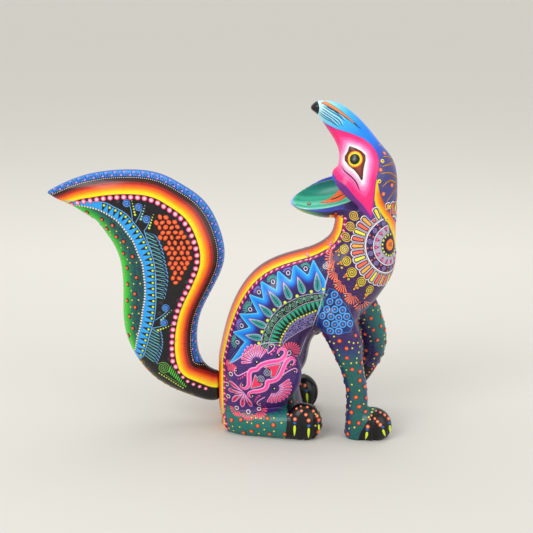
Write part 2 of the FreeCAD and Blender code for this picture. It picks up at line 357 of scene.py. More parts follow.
CRESCENT_EDGE = [(115.5, 244), (113, 228), (115, 219), (121, 210), (128, 200), (133, 188),
                 (137, 172)]
OUTLINES = {
    "flank": [(-60, 60), (-60, 200), (75, 200), *FLANK_BORDER, (45, 70), (0, 60)],
    "zigzag": ZIGZAG + [(64, 120), (35, 90), (0, 70), (-22, 66)],
    "arch_top": belly_band(ARCH_TOP),
    "arch_middle": belly_band(ARCH_MIDDLE),
    "arch_beads": belly_band(ARCH_BEADS),
    "arch_low": belly_band(ARCH_LOW),
    "haunch": HAUNCH_TOP + [(39, 89), (46, 80), (49, 68), (46, 50), (40, 30), (0, 10), (-40, 20)],
    "foot": FOOT_TOP + [(44, -5), (-40, -5)],
    "hind_paw": [(39, 43), (36.5, 34), (35, 22), (33, -5), (80, -5), (80, 43)],
    "patch": [(73, 144), (69, 133), (64, 121), (62, 107), (71, 102), (83, 103), (93, 104),
              (97, 112), (92, 124), (84, 135), (78, 143)],
    "crescent": CRESCENT_EDGE + [(141, 190), (136, 199), (125, 217), (119, 229)],
    "mask": [(60, 297), (71, 290.5), (79, 287), (92, 283.5), (103, 279), (111, 273), (116, 266),
             (118, 259), (117, 251), (114.5, 241), (113.5, 225), (112.5, 207), (111, 208),
             (104, 218), (97, 225.5), (88, 236), (80, 241), (75, 248), (79.5, 255), (79.5, 266),
             (77, 275), (73, 284), (66.5, 292)],
    "lips": [(58, 296), (71, 290.5), (116, 266), (113, 206), (104, 212), (96, 219), (88, 226),
             (80, 236), (70, 262)],
    "nose": [(50, 320), (62.5, 311), (64, 306), (63.5, 301), (60.5, 294), (45, 290)],
    "fore_paw": [(116, 28), (109, 19.5), (104, 10), (100, -5), (145, -5), (145, 40)],
    "raised_paw": [(108, 53), (116, 48), (121, 45), (127, 41), (127, 10), (80, 10), (80, 40)],
}
EYE_WHITE = [(91.5, 272.5), (99, 270.3), (105, 265.5), (106, 259), (104.8, 251), (103.4, 240),
             (100, 245), (95, 250), (89.5, 252.5), (86, 256), (86, 261), (88.8, 267)]

figure_side = figure_points[:, [0, 2]]
rulers = {name: depth_inside(figure_side, outline) for name, outline in OUTLINES.items()}
rulers["ridge"] = nearest_on(figure_side, back_ridge)[0] / ridge_share(figure_side[:, 1])
rulers["crescent_tone"], _ = nearest_on(figure_side, CRESCENT_EDGE)
outer_gap = np.maximum(rulers["mask"], 0)
inner_gap = np.maximum(-depth_inside(figure_side, EYE_WHITE), 0)
rulers["mask_tone"] = outer_gap / np.maximum(outer_gap + inner_gap, 1e-6)
rulers["from_nose"] = np.hypot(figure_side[:, 0] - 60, figure_side[:, 1] - 307)
rulers["raised_tone"] = figure_side[:, 0] + 0.35 * (figure_side[:, 1] - 75)


LEG_RIM_WIDTH, LEG_RIM_TOP = 5, 76
BETWEEN_PAWS = 21
THROAT_TOP, THROAT_REACH = 206.5, (72, 98)


def leg_rim(points):
    """Millimetres into the violet edge of the standing leg, from the teal inside it."""
    leg = ((points[:, 0] > LEG_BACK) & (points[:, 1] < -LEG_INNER)
           & (points[:, 2] < STANDING_SEAM))
    levels = np.arange(0, 106, 4.0)
    rows = [points[leg & (abs(points[:, 2] - level) < 3), 0] for level in levels]
    left = np.interp(points[:, 2], levels, [row.min() for row in rows])
    right = np.interp(points[:, 2], levels, [row.max() for row in rows])
    gap = np.minimum(points[:, 0] - left, right - points[:, 0])
    upward = (points[:, 2] - LEG_RIM_TOP) / 2.5
    return np.where(leg, np.maximum(LEG_RIM_WIDTH - gap, upward), -9)


rulers["hind_paw"] = np.minimum(rulers["hind_paw"], abs(figure_points[:, 1]) - BETWEEN_PAWS)
rulers["leg_edge"] = leg_rim(figure_points)
rulers["throat"] = np.minimum(THROAT_TOP - figure_points[:, 2],
                              figure_points[:, 0] - THROAT_REACH[0])
rulers["throat"][figure_points[:, 0] > THROAT_REACH[1]] = -5
print("measured", len(rulers), "rulers on the figure")

# %% [markdown]
# ## The mouth's own ruler
# The lower jaw is drawn in its own tilted frame. An egg-shaped hollow is scooped out of it, so
# the depth from that egg tells the scooped inside from the flat lip and from the outside.

# %% Rulers of the jaw
JAW_START = np.array([99, 0, 230.5])
JAW_TURN = (Matrix.Rotation(math.radians(167), 3, "Z") @ Matrix.Rotation(math.radians(14), 3, "Y")
            @ Matrix.Rotation(math.radians(-38), 3, "X"))
LIP_DEPTH = 1.3
jaw_axes = np.array(JAW_TURN)
jaw_points = (figure_points - JAW_START) @ jaw_axes
BOWL_MIDDLE = np.array([25, 0, 3])
BOWL_SIZE = np.array([36, 17.5, 12])
bowl = np.linalg.norm((jaw_points - BOWL_MIDDLE) / BOWL_SIZE, axis=1)
rulers["bowl"] = (1.05 - bowl) * BOWL_SIZE[2]
rulers["lip_land"] = jaw_points[:, 2] + LIP_DEPTH
rulers["jaw_run"] = jaw_points[:, 0]
rulers["jaw_across"] = jaw_points[:, 1]
in_front = (jaw_points[:, 0] > -8) & (figure_points[:, 2] > 196)
rulers["jaw_zone"] = np.where(in_front & (jaw_points[:, 2] < JAW_ROOF), jaw_points[:, 0] + 8,
                              -5.0)
print("jaw points:", int((rulers["jaw_zone"] > 0).sum()))

# %% [markdown]
# ## Rulers of the tail
# Bands run along the tail's outer rim from the seam to the tip and narrow where it narrows, so
# their ruler is scaled by the local width.

# %% Rulers along the tail
VEIN = [(-172, 219), (-156, 219.5), (-134, 220), (-124, 216), (-113, 210), (-106, 202),
        (-100, 194), (-95, 185), (-92, 178), (-89, 170), (-87, 160), (-87, 147), (-87, 135),
        (-87, 125), (-89, 110), (-92, 100), (-95, 90), (-98, 79), (-101, 71), (-106, 66)]
WHITE_CHAIN = [(-170, 217.5), (-163, 216), (-150, 215), (-140, 213), (-131, 209), (-123, 204),
               (-118, 199), (-112, 191), (-107, 184), (-104, 176), (-102, 170), (-99, 163),
               (-98, 155), (-97, 143), (-97, 134), (-98, 126), (-100, 116), (-101, 109),
               (-103, 100), (-106, 89), (-109, 76), (-112, 72)]
tail_side = tail_points[:, [0, 2]]
rim_gap, rim_run = nearest_on(tail_side, tail_outer)
outer_row, inner_row = np.array(tail_outer), np.array(tail_inner)
count = min(len(outer_row), len(inner_row))
run_marks = np.concatenate([[0], np.cumsum(np.hypot(*np.diff(outer_row, axis=0).T))])[:count]
widths = np.hypot(*(outer_row[:count] - inner_row[:count]).T)


def band_scale(run):
    """How wide the rim bands are at a place along the rim, as a share of their full width."""
    width = np.interp(run, run_marks, widths)
    towards_root = np.minimum(1, width / 28)
    towards_tip = np.interp(width, (0, 14, 21, 38, 54), (0.02, 0.49, 0.67, 0.89, 1.0))
    height = np.interp(run, run_marks, outer_row[:count, 1])
    slant = np.interp(height, (45, 70, 100, 130, 165, 215, 240),
                      (1.0, 0.9, 0.84, 0.84, 0.95, 0.93, 0.87))
    return np.where(run < run_marks[-1] * 0.4, towards_root, towards_tip) * slant


tail_rulers = {
    "rim": rim_gap / np.maximum(band_scale(rim_run), 0.02),
    "inner_field": depth_inside(tail_side, WHITE_CHAIN + [(-160, 60), (-230, 140), (-200, 215)]),
    "azure_field": depth_inside(tail_side, VEIN + WHITE_CHAIN[::-1]),
    "tail_edge": nearest_on(tail_side, tail_inner)[0],
    "rim_zone": np.full(len(tail_side), 5.0),
}
print("the rim is", round(float(run_marks[-1])), "mm long")

# %% [markdown]
# ## Stencils: from a flat drawing to the wood
# A painter holds a drawing in mind and lays it on a curved block. A stencil here is a function
# that takes a place in a flat drawing and returns the spot on the wood and the way it faces. One
# kind looks straight at the flank; the other starts at a spot and walks over the surface, as a
# hand does round the chest.

# %% Two kinds of stencil
GRAZING = 0.16


def from_side(tree, side, start=400.0, grazing=GRAZING, keep=None):
    """Stencil held at one side; side is -1 for the right flank and 1 for the left one."""
    def touch(u, v):
        spot, facing, _, _ = tree.ray_cast(Vector((u, side * start, v)), Vector((0, -side, 0)))
        if spot is None or abs(facing.y) < grazing or (keep and not keep(spot)):
            return None
        return spot, facing
    touch.tree = tree
    return touch


def walking(tree, spot, facing, side, keep=None):
    """Stencil that walks over the surface from a spot; u runs forwards and v upwards."""
    forward = Vector((0, 0, 1)).cross(facing).normalized() * -side
    upward = facing.cross(forward).normalized()
    if upward.z < 0:
        upward.negate()

    def touch(u, v):
        reach = math.hypot(u, v)
        place, normal = spot.copy(), facing.copy()
        if reach > 1e-6:
            heading = (forward * u + upward * v) / reach
            steps = max(1, int(math.ceil(reach / 3.0)))
            for _ in range(steps):
                place, normal, _, _ = tree.find_nearest(place + heading * (reach / steps))
                heading = (heading - normal * heading.dot(normal)).normalized()
        if keep and not keep(place):
            return None
        return place, normal
    touch.tree = tree
    return touch


# %% [markdown]
# ## Pots of paint and three marks
# Everything raised is one of three marks: a dot that swells in the middle, a stroke with rounded
# flanks that can swell and taper like a petal, and a flat filled patch. The edge of each mark is
# sunk a little into the wood so that nothing floats. A paint has a blend of colours from the
# middle of the mark to its edge, which is how a dot gets its dark rim and a bead its white eye.

# %% Paints
def ink(code):
    """A colour as the paint maker writes it, turned into scene light values."""
    channels = [int(code[k:k + 2], 16) / 255 for k in (0, 2, 4)]
    return tuple(c / 12.92 if c <= 0.04045 else ((c + 0.055) / 1.055) ** 2.4 for c in channels)


PAINTS = {
    "disc_bed": [(0, "30144c"), (1, "280f40")],
    "eye_green": [(0, "e4f03c"), (0.8, "cfe030"), (0.95, "9cc028"), (1, "4c7020")],
    "eye_line": [(0, "2c0c08"), (1, "1c0806")],
    "bead": [(0, "fff2f4"), (0.42, "ffc3d6"), (0.72, "ff4f8d"), (1, "c8125a")],
    "dash": [(0, "fff0f4"), (0.4, "ffa9c8"), (0.75, "ff4f93"), (1, "d01c6e")],
    "orange_dot": [(0, "ff8038"), (0.62, "ff561c"), (0.78, "c42c14"),
                   (0.86, "4c0c12"), (1, "2c060c")],
    "coral_dot": [(0, "ffa07c"), (0.7, "ff7448"), (1, "7a2a18")],
    "yellow_dot": [(0, "f4f090"), (0.6, "dcd24a"), (0.8, "565020"), (1, "101008")],
    "lime_bead": [(0, "f4ff7a"), (0.7, "cfe62a"), (1, "4c5a10")],
    "cream_bead": [(0, "fffdf0"), (0.7, "efe6cf"), (1, "3c3a3a")],
    "white_line": [(0, "fbf7f6"), (0.7, "ebe4ea"), (1, "a79db5")],
    "grey_line": [(0, "cfc4d4"), (0.7, "b7a9c2"), (1, "6c5c88")],
    "grey_spiral": [(0, "b9bccb"), (1, "7b7d93")],
    "black": [(0, "0d0a0c"), (1, "070507")],
    "rim_black": [(0, "140c12"), (1, "0c060c")],
    "violet_disc": [(0, "3a2466"), (1, "281548")],
    "fan_lilac": [(0, "9890ec"), (0.7, "847ce0"), (1, "4c449c")],
    "fan_teal": [(0, "5cc8b0"), (0.7, "46b49c"), (1, "1f7064")],
    "leaf_teal": [(0, "1f7f84"), (0.55, "2aa39c"), (0.8, "3cb8ac"), (1, "1c6c70")],
    "leaf_vein": [(0, "0d3b46"), (1, "0a2c38")],
    "mint_line": [(0, "9fd8bf"), (1, "4d8c7c")],
    "triangle_teal": [(0, "1fae8a"), (0.7, "1a9a78"), (1, "0b4c42")],
    "scroll": [(0, "ff3090"), (0.35, "ff4a9e"), (0.6, "ff7cc0"), (0.85, "ffb4e0"),
               (0.96, "f8a4dc"), (1, "7a2a88")],
    "hot_pink": [(0, "ff2a55"), (0.8, "ff2f66"), (1, "c02060")],
    "red_drop": [(0, "d4104a"), (0.8, "b80f46"), (1, "8a1040")],
    "pink_line": [(0, "ffb4e0"), (0.7, "f79cd6"), (1, "8c3a92")],
    "coral_fan": [(0, "ff6478"), (0.7, "fa4c6c"), (1, "a02c58")],
    "orange_fan": [(0, "ff8c54"), (0.7, "fa6c44"), (1, "9c3038")],
    "petal_coral": [(0, "ff7a50"), (0.7, "fb6444"), (1, "a8362c")],
    "petal_yellow": [(0, "fff25c"), (0.7, "f0e23c"), (1, "94881c")],
    "petal_amber": [(0, "ffbe50"), (0.7, "fba834"), (1, "b8641c")],
    "petal_bed": [(0, "371650"), (1, "2c1242")],
    "gold": [(0, "e4c04a"), (0.7, "d4a83a"), (1, "8c6a1c")],
    "gold_disc": [(0, "f0d44c"), (0.85, "e4c43c"), (1, "8c6418")],
    "brown_line": [(0, "2c1c12"), (1, "1c120c")],
    "yellow_tail": [(0, "ffd830"), (0.7, "f8c41c"), (1, "b07c10")],
    "magenta_bead": [(0, "ff8abf"), (0.5, "ff3f93"), (1, "7a1460")],
    "lilac_line": [(0, "b4a2d6"), (1, "7c68ac")],
    "silver_band": [(0, "bcb0c2"), (0.8, "b0a4ba"), (1, "8c7ea0")],
    "eye_orange": [(0, "ff9a1c"), (0.9, "ff7a14"), (1, "c8380c")],
    "eye_yellow": [(0, "fff04a"), (0.8, "ffe428"), (1, "f0b81c")],
    "eye_red": [(0, "a8402c"), (0.6, "8c3022"), (1, "54190f")],
    # The pupil's grey middle is a painted highlight: the varnish's reflection of the lamp, put
    # into its colour.
    "pupil_painted_glint": [(0, "9aa0a0"), (0.3, "4a4e4a"), (0.6, "171916"), (1, "0a0a08")],
    "whisker": [(0, "0b3c66"), (1, "135a8c")],
    "pale_hair": [(0, "e4fbff"), (1, "9fe4f6")],
    "wedge_orange": [(0, "ff9a4c"), (0.8, "f47c34"), (1, "c05018")],
    "tongue": [(0, "ff7a2c"), (0.8, "f85c18"), (1, "d8440c")],
    "cell": [(0, "dcbcb4"), (0.13, "c8a8b0"), (0.17, "0c1440"), (0.38, "0c1c5c"), (0.55, "135cc0"),
             (0.72, "1c7cdc"), (0.84, "5ab4f4"), (0.94, "7cc8fa"), (1, "14307c")],
    "claw": [(0, "eaff3c"), (0.8, "d0f01c"), (1, "86a010")],
    "claw_blue": [(0, "2f6ab8"), (1, "123c78")],
    "paw_bead": [(0, "ffb48c"), (0.6, "ff7c4c"), (1, "a03414")],
    "flame": [(0, "e8b03c"), (0.5, "cc8c2c"), (1, "5c3018")],
    "flame_core": [(0, "8c2410"), (1, "64160a")],
    "swirl_blue": [(0, "1a3f92"), (0.7, "16347c"), (1, "0f2460")],
    "rim_pink": [(0, "ffa0b8"), (1, "f07a9c")],
    "pebble": [(0, "ff8a40"), (0.6, "ff5f20"), (0.85, "e8420f"), (1, "6c160c")],
    "pebble_bed": [(0, "240606"), (1, "1a0404")],
    "feather_line": [(0, "8ccaf4"), (0.6, "5cace8"), (1, "1f4f90")],
    "feather_core": [(0, "8ce0d4"), (1, "2f8c8c")],
    "curl": [(0, "2f6cd0"), (0.6, "1f4cac"), (0.85, "16388c"), (1, "5fa8ec")],
    "pale_dot": [(0, "bfe6d4"), (1, "5f9c8c")],
    "star_grey": [(0, "6c6468"), (1, "4a4248")],
    "triangle_black": [(0, "0c0a10"), (1, "08060c")],
    "green_line": [(0, "86c850"), (1, "3c7c2c")],
    "lime_plume": [(0, "7cf04c"), (0.6, "48d034"), (1, "1c7c1c")],
    "olive_line": [(0, "a8a03c"), (1, "5c5820")],
}


def shade_of(paint, share):
    """The paint's colour at a share of the way from the middle of a mark to its edge."""
    stops = PAINTS[paint]
    for (start, first), (end, second) in zip(stops, stops[1:]):
        if share <= end:
            mix = (share - start) / max(end - start, 1e-6)
            return tuple(a + (b - a) * mix for a, b in zip(ink(first), ink(second)))
    return ink(stops[-1][1])


print(len(PAINTS), "pots of paint")

# %% Dots, strokes and patches
layers = {}
SINK = 0.14


def layer(name):
    """The raised paint of one part of the figure, gathered as one mesh."""
    return layers.setdefault(name, {"points": [], "faces": [], "colours": []})


def dot(name, paint, touch, u, v, radius, rise=0.35, squeeze=1.0, turn=0.0, lift=0.0, sides=14):
    """A drop of paint with a round back; squeeze and turn make it an oval."""
    found = touch(u, v)
    if found is None:
        return
    spot, facing = found
    first = facing.cross(Vector((0, 1, 0)))
    if first.length < 0.2:
        first = Vector((1, 0, 0)) - facing * facing.x
    first.normalize()
    if first.x < 0:
        first.negate()
    second = first.cross(facing)
    if second.z < 0:
        second.negate()
    drop = layer(name)
    base = len(drop["points"])
    drop["points"].append(spot + facing * (radius * rise + lift))
    drop["colours"].append(shade_of(paint, 0))
    shares = (0.3, 0.55, 0.76, 0.9, 0.98, 1.0) if radius > 1.3 else (0.5, 0.85, 0.96, 1.0)
    for share in shares:
        height = radius * rise * math.sqrt(1 - share ** 2) + 0.04 + lift if share < 1 else -SINK
        colour = shade_of(paint, share)
        for k in range(sides):
            angle = 2 * math.pi * k / sides
            a = math.cos(angle) * radius * share
            b = math.sin(angle) * radius * share * squeeze
            x = a * math.cos(turn) - b * math.sin(turn)
            y = a * math.sin(turn) + b * math.cos(turn)
            place = spot + first * x + second * y
            if radius > 1.6:
                near, normal, _, _ = touch.tree.find_nearest(place)
                drop["points"].append(near + normal * height)
            else:
                drop["points"].append(place + facing * height)
            drop["colours"].append(colour)
    for k in range(sides):
        following = (k + 1) % sides
        drop["faces"].append((base, base + 1 + k, base + 1 + following))
        for ring in range(len(shares) - 1):
            a, b = base + 1 + ring * sides, base + 1 + (ring + 1) * sides
            drop["faces"].append((a + k, b + k, b + following, a + following))


ACROSS = (-1, -0.93, -0.7, -0.3, 0.3, 0.7, 0.93, 1)


def lay_ribbon(name, paint, tree, run, rise, lift, closed):
    """Turns a row of (spot, facing, width) into one rounded ribbon of paint."""
    if len(run) < 2:
        return
    ribbon = layer(name)
    base = len(ribbon["points"])
    colours = [shade_of(paint, abs(share)) for share in ACROSS]
    total = len(run)
    for k, (spot, facing, width) in enumerate(run):
        ahead = run[(k + 1) % total] if closed else run[min(k + 1, total - 1)]
        behind = run[k - 1] if closed or k else run[0]
        aside = facing.cross(ahead[0] - behind[0])
        if aside.length < 1e-9:
            aside = Vector((0, 0, 1)).cross(facing)
        aside.normalize()
        for share, colour in zip(ACROSS, colours):
            place = spot + aside * (share * width / 2)
            normal = facing
            if width > 2.2:
                place, normal, _, _ = tree.find_nearest(place)
            height = rise * (1 - 0.7 * share ** 2) + lift if abs(share) < 1 else -SINK
            ribbon["points"].append(place + normal * height)
            ribbon["colours"].append(colour)
    wide = len(ACROSS)
    for k in range(total if closed else total - 1):
        a, b = base + k * wide, base + ((k + 1) % total) * wide
        for j in range(wide - 1):
            ribbon["faces"].append((a + j, a + j + 1, b + j + 1, b + j))


def stroke(name, paint, touch, path, width, rise=0.22, lift=0.0, swell=None, closed=False,
           rounded=True, step=1.0):
    """One pull of the brush along a path; swell gives its width along the way."""
    row = smooth_line(path, step, closed) if rounded else evenly(path, step, closed)
    run = []
    whole = True
    for k, (u, v) in enumerate(row):
        found = touch(float(u), float(v))
        if found is None:
            lay_ribbon(name, paint, touch.tree, run, rise, lift, False)
            run, whole = [], False
            continue
        share = k / max(len(row) - 1, 1)
        run.append((*found, max(width * (swell(share) if swell else 1.0), 0.12)))
    lay_ribbon(name, paint, touch.tree, run, rise, lift, closed and whole)


def evenly(path, step, closed=False):
    """Straight runs between the points, sampled about every step mm."""
    a, b = segments(path, closed)
    row = []
    for start, end in zip(a, b):
        pieces = max(1, int(math.ceil(np.hypot(*(end - start)) / step)))
        row += [start + (end - start) * j / pieces for j in range(pieces)]
    return row if closed else row + [b[-1]]


def patch(name, paint, touch, outline, rise=0.2, lift=0.0, rings=4, rounded=True):
    """A filled shape, laid in rings that shrink towards its middle."""
    row = smooth_line(outline, 1.4, True) if rounded else evenly(outline, 1.4, True)
    middle = np.mean(row, axis=0)
    filled = layer(name)
    base = len(filled["points"])
    shares = [1.0] + [0.97 - 0.97 * k / rings for k in range(rings)]
    rings += 1
    for ring, share in enumerate(shares):
        for spot in row:
            found = touch(*(middle + (spot - middle) * share))
            if found is None:
                del filled["points"][base:], filled["colours"][base:]
                return
            height = rise + lift if ring else -SINK
            filled["points"].append(found[0] + found[1] * height)
            filled["colours"].append(shade_of(paint, share))
    found = touch(*middle)
    if found is None:
        del filled["points"][base:], filled["colours"][base:]
        return
    filled["points"].append(found[0] + found[1] * (rise + lift))
    filled["colours"].append(shade_of(paint, 0))
    total = len(row)
    last = base + rings * total
    for k in range(total):
        following = (k + 1) % total
        for ring in range(rings - 1):
            a, b = base + ring * total, base + (ring + 1) * total
            filled["faces"].append((a + k, a + following, b + following, b + k))
        filled["faces"].append((last - total + k, last - total + following, last))


# %% [markdown]
# ## Motifs the painter repeats
# Petals, rings, spirals, fans and chains come back all over the figure, so each is a short
# function made of the three marks.

# %% Motifs
def petal(share):
    """Width of a teardrop that swells near its far end."""
    return math.sin(math.pi * share ** 1.8) ** 0.8 if 0 < share < 1 else 0.05


def leaf(share):
    """Width of a leaf that is widest a third of the way up."""
    return math.sin(math.pi * share ** 0.62) if 0 < share < 1 else 0.05


def club(share):
    """Width of a petal that widens to a round far end."""
    cap = 1.0 if share < 0.78 else math.sqrt(max(0.0, 1 - ((share - 0.78) / 0.22) ** 2))
    return (0.68 + 0.32 * min(share / 0.75, 1)) * cap


def finger(share):
    """Width of a slim petal that starts at a point and ends round."""
    return min(1.0, 0.18 + 1.1 * share) * (1.0 if share < 0.85 else
                                           math.sqrt(max(0.0, 1 - ((share - 0.85) / 0.15) ** 2)))


def wedge(share):
    return max(1 - share, 0.04)


def tapered(share):
    return min(1.0, 4 * share + 0.2, 4 * (1 - share) + 0.2)


def between(start, end, share):
    """The spot at a share of the way from one spot to another."""
    return tuple(np.add(start, np.multiply(np.subtract(end, start), share)))


def polar(middle, radius, degrees):
    angle = math.radians(degrees)
    return (middle[0] + radius * math.cos(angle), middle[1] + radius * math.sin(angle))


def ring(name, paint, touch, middle, radius, width, rise=0.22, lift=0.0, step=0.9):
    count = max(10, int(2 * math.pi * radius / step))
    path = [polar(middle, radius, 360 * k / count) for k in range(count)]
    stroke(name, paint, touch, path, width, rise, lift, closed=True, rounded=False, step=9)


def spiral(name, paint, touch, middle, radius, turns, width, start=0.0, lift=0.0):
    count = int(turns * 16)
    path = [polar(middle, radius * (k + 1) / count, start + 360 * turns * k / count)
            for k in range(count)]
    stroke(name, paint, touch, path, width, 0.2, lift, rounded=False, step=9)


def fan(name, paint, touch, heart, heading, spread, inner, outer, blades, width,
        swell=finger):
    """Blades that open from a heart, as in a comb or a shell."""
    for k in range(blades):
        degrees = heading + spread * (k / (blades - 1) - 0.5)
        path = [polar(heart, away, degrees) for away in (inner, (inner + outer) / 2, outer)]
        stroke(name, paint, touch, path, width, 0.22, swell=swell)


def petal_fan(name, touch, heart, heading, spread, inner, outer, blades, width):
    """A fan whose petals are outlined in pale pink and filled in hot pink."""
    for k in range(blades):
        degrees = heading + spread * (k / (blades - 1) - 0.5)
        reach = outer * (1 - 0.12 * abs(k / (blades - 1) - 0.5))
        root, tip = polar(heart, inner, degrees), polar(heart, reach, degrees)
        stroke(name, "pink_line", touch, [root, tip], width, 0.18, swell=finger)
        root, tip = polar(heart, inner + 3.5, degrees), polar(heart, reach - 0.7, degrees)
        stroke(name, "hot_pink", touch, [root, tip], width * 0.55, 0.16, 0.16, swell=finger)


def spots_along(line, gap, offset=0.0):
    """Evenly spaced spots on a line, with the direction of the line at each."""
    row = np.array(smooth_line(line))
    run = np.concatenate([[0], np.cumsum(np.hypot(*np.diff(row, axis=0).T))])
    count = max(1, int(round((run[-1] - offset) / gap)))
    spots = []
    for k in range(count + 1):
        place = offset + (run[-1] - offset) * k / count
        at = np.array([np.interp(place, run, row[:, j]) for j in (0, 1)])
        on = np.array([np.interp(min(place + 1, run[-1]), run, row[:, j]) for j in (0, 1)])
        back_at = np.array([np.interp(max(place - 1, 0), run, row[:, j]) for j in (0, 1)])
        way = on - back_at
        spots.append((at, way / max(np.hypot(*way), 1e-9)))
    return spots


def chain(name, paint, touch, line, gap, radius, squeeze=1.0, rise=0.35, offset=0.0, fade=None):
    for k, (at, way) in enumerate(spots_along(line, gap, offset=offset)):
        size = radius * (fade(k) if fade else 1.0)
        turn = math.atan2(way[1], way[0])
        dot(name, paint, touch, at[0], at[1], size, rise, squeeze, turn)


def inset(line, spine_side, amount):
    """Moves a line sideways, towards the wood's middle."""
    row = np.array(line)
    way = np.gradient(row, axis=0)
    way /= np.maximum(np.hypot(*way.T), 1e-9)[:, None]
    aside = np.column_stack([way[:, 1], -way[:, 0]]) * spine_side
    amounts = np.broadcast_to(amount, len(row))
    moved = row + aside * amounts[:, None]
    gaps, _ = nearest_on(moved, line)
    return [tuple(spot) for spot, gap, want in zip(moved, gaps, amounts) if gap > 0.96 * want]


SIDES = (-1, 1)
flank_stencil = {side: from_side(figure_tree, side) for side in SIDES}

# %% [markdown]
# ## The flank: blue zigzag, leaves, arches and beads
# The widest field of the figure. A zigzag flares out from the belly with a small fan and a white
# ring in each notch, a leaf stands in each point, and three arches of finer work close it below.

# %% Paint the flank
LEAVES = [((62, 156), (63, 141)), ((45, 152), (50, 139)), ((32, 147), (38, 134)),
          ((19, 139), (29, 127)), ((10, 127), (21, 118)), ((1, 113), (16, 108)),
          ((-2, 98), (12, 97))]
LIME_SPOTS = [(68, 143), (57, 141), (44, 137), (33, 131), (23, 124), (17, 114), (12, 103), (9, 92)]
NOTCH_RINGS = [(52, 160), (36, 156), (22, 148), (9, 138), (1, 122), (-7, 106), (-11, 90)]
BELLY_HEART = (48, 92)
CLEAR_OF_DASHES, FANS_FROM_BACK = 10.9, 10.6


def inside_ridge(spot):
    """True where a spot is clear of the back's bands and dashes."""
    here = np.array([[spot.x, spot.z]])
    return nearest_on(here, back_ridge)[0][0] / ridge_share(spot.z) > CLEAR_OF_DASHES


def paint_flank(touch):
    for k, heart in enumerate(NOTCH_RINGS):
        out = math.degrees(math.atan2(heart[1] - BELLY_HEART[1], heart[0] - BELLY_HEART[0]))
        room = nearest_on(np.array([heart]), back_ridge)[0][0]
        room -= FANS_FROM_BACK * ridge_share(heart[1])
        fan("flank_paint", "fan_lilac" if k % 2 else "fan_teal", touch, heart, out, 136, 2.9,
            min(11.0, max(5.0, float(room))), 10, 0.75, swell=None)
        dot("flank_paint", "violet_disc", touch, *heart, 2.1, 0.1)
        ring("flank_paint", "white_line", touch, heart, 1.6, 0.7, lift=0.1)
    spiral("flank_paint", "white_line", touch, (70, 163), 3.0, 2.3, 0.6)
    for tip, root in LEAVES:
        tip = between(root, tip, 1.12)
        stroke("flank_paint", "grey_line", touch, [root, tip], 7.4, 0.16, swell=leaf, step=0.8)
        shorter = [between(root, tip, 0.05), between(root, tip, 0.86)]
        stroke("flank_paint", "leaf_teal", touch, shorter, 6.0, 0.2, 0.12, swell=leaf, step=0.8)
        stroke("flank_paint", "leaf_vein", touch, shorter, 0.6, 0.1, 0.3, swell=tapered)
        along = np.subtract(shorter[1], shorter[0])
        aside = np.array([-along[1], along[0]]) / np.hypot(*along)
        for share in (0.22, 0.38, 0.54):
            middle = shorter[0] + along * share
            for hand in (-1, 1):
                end = middle + along * 0.13 + aside * hand * 1.9
                stroke("flank_paint", "leaf_vein", touch, [middle, end], 0.45, 0.1, 0.3)
    for spot in LIME_SPOTS:
        dot("flank_paint", "lime_bead", touch, *spot, 1.7, 0.4)
    middle_top = spots_along(ARCH_TOP, 7.4, offset=6)
    middle_low = np.array([at for at, _ in spots_along(ARCH_MIDDLE, 1.0)])
    for k, (at, way) in enumerate(middle_top):
        gap = middle_low - at
        across = middle_low[np.argmin(np.hypot(*gap.T))]
        heart = at + (across - at) * 0.52
        size = np.hypot(*(across - at)) * 0.36
        dot("flank_paint", "rim_black", touch, *heart, size * 1.15, 0.06)
        spiral("flank_paint", "mint_line", touch, heart, size, 2.2, 0.5, 60 * k, lift=0.1)
        beside = heart + way * 3.7
        for lean in (-35, 0, 35):
            degrees = math.degrees(math.atan2(*(at - across)[::-1])) + lean
            stroke("flank_paint", "mint_line", touch, [beside, polar(beside, 2.6, degrees)], 0.8,
                   swell=leaf, step=0.7)
    for at, way in spots_along(ARCH_MIDDLE, 4.4, offset=8):
        inward = np.array([way[1], -way[0]])
        stroke("flank_paint", "triangle_teal", touch, [at + inward * 0.8, at + inward * 8.6], 4.6,
               0.18, swell=wedge)
    chain("flank_paint", "lime_bead", touch, ARCH_BEADS, 2.9, 1.15)
    for line in (ARCH_TOP, ARCH_MIDDLE, ARCH_LOW):
        stroke("flank_paint", "grey_line", touch, line, 0.6, 0.15)
    foam = inset(ARCH_BEADS, 1, 2.2)
    stroke("flank_paint", "lilac_line", touch, foam, 0.5, 0.15)
    stroke("flank_paint", "grey_line", touch, FLANK_BORDER[1:], 0.8, 0.2)


for side in SIDES:
    paint_flank(from_side(figure_tree, side, keep=inside_ridge))
print("flank paint:", len(layers["flank_paint"]["faces"]), "faces")

# %% [markdown]
# ## The pink dashes along the spine
# A chain of oval beads follows the rainbow band of the back from the seat to the throat.

# %% Paint the spine's dashes
ridge_row = [tuple(spot) for spot in smooth_line(back_ridge, 3.0)]
DASH_DEPTH = 8.9
dash_depths = DASH_DEPTH * ridge_share([spot[1] for spot in ridge_row])
spine_inset = [spot for spot in inset(ridge_row, 1, dash_depths) if spot[1] > 3]
for side in SIDES:
    chain("spine_paint", "dash", flank_stencil[side], spine_inset, 5.7, 2.35, squeeze=0.5)
print("spine paint:", len(layers["spine_paint"]["faces"]), "faces")

# %% [markdown]
# ## The haunch: twin scrolls, diamonds and shells
# Two thick pink scrolls turn round each other about the middle of the haunch. The rest answers
# them: petal fans, red drops with pale outlines, white rings with coral shells.

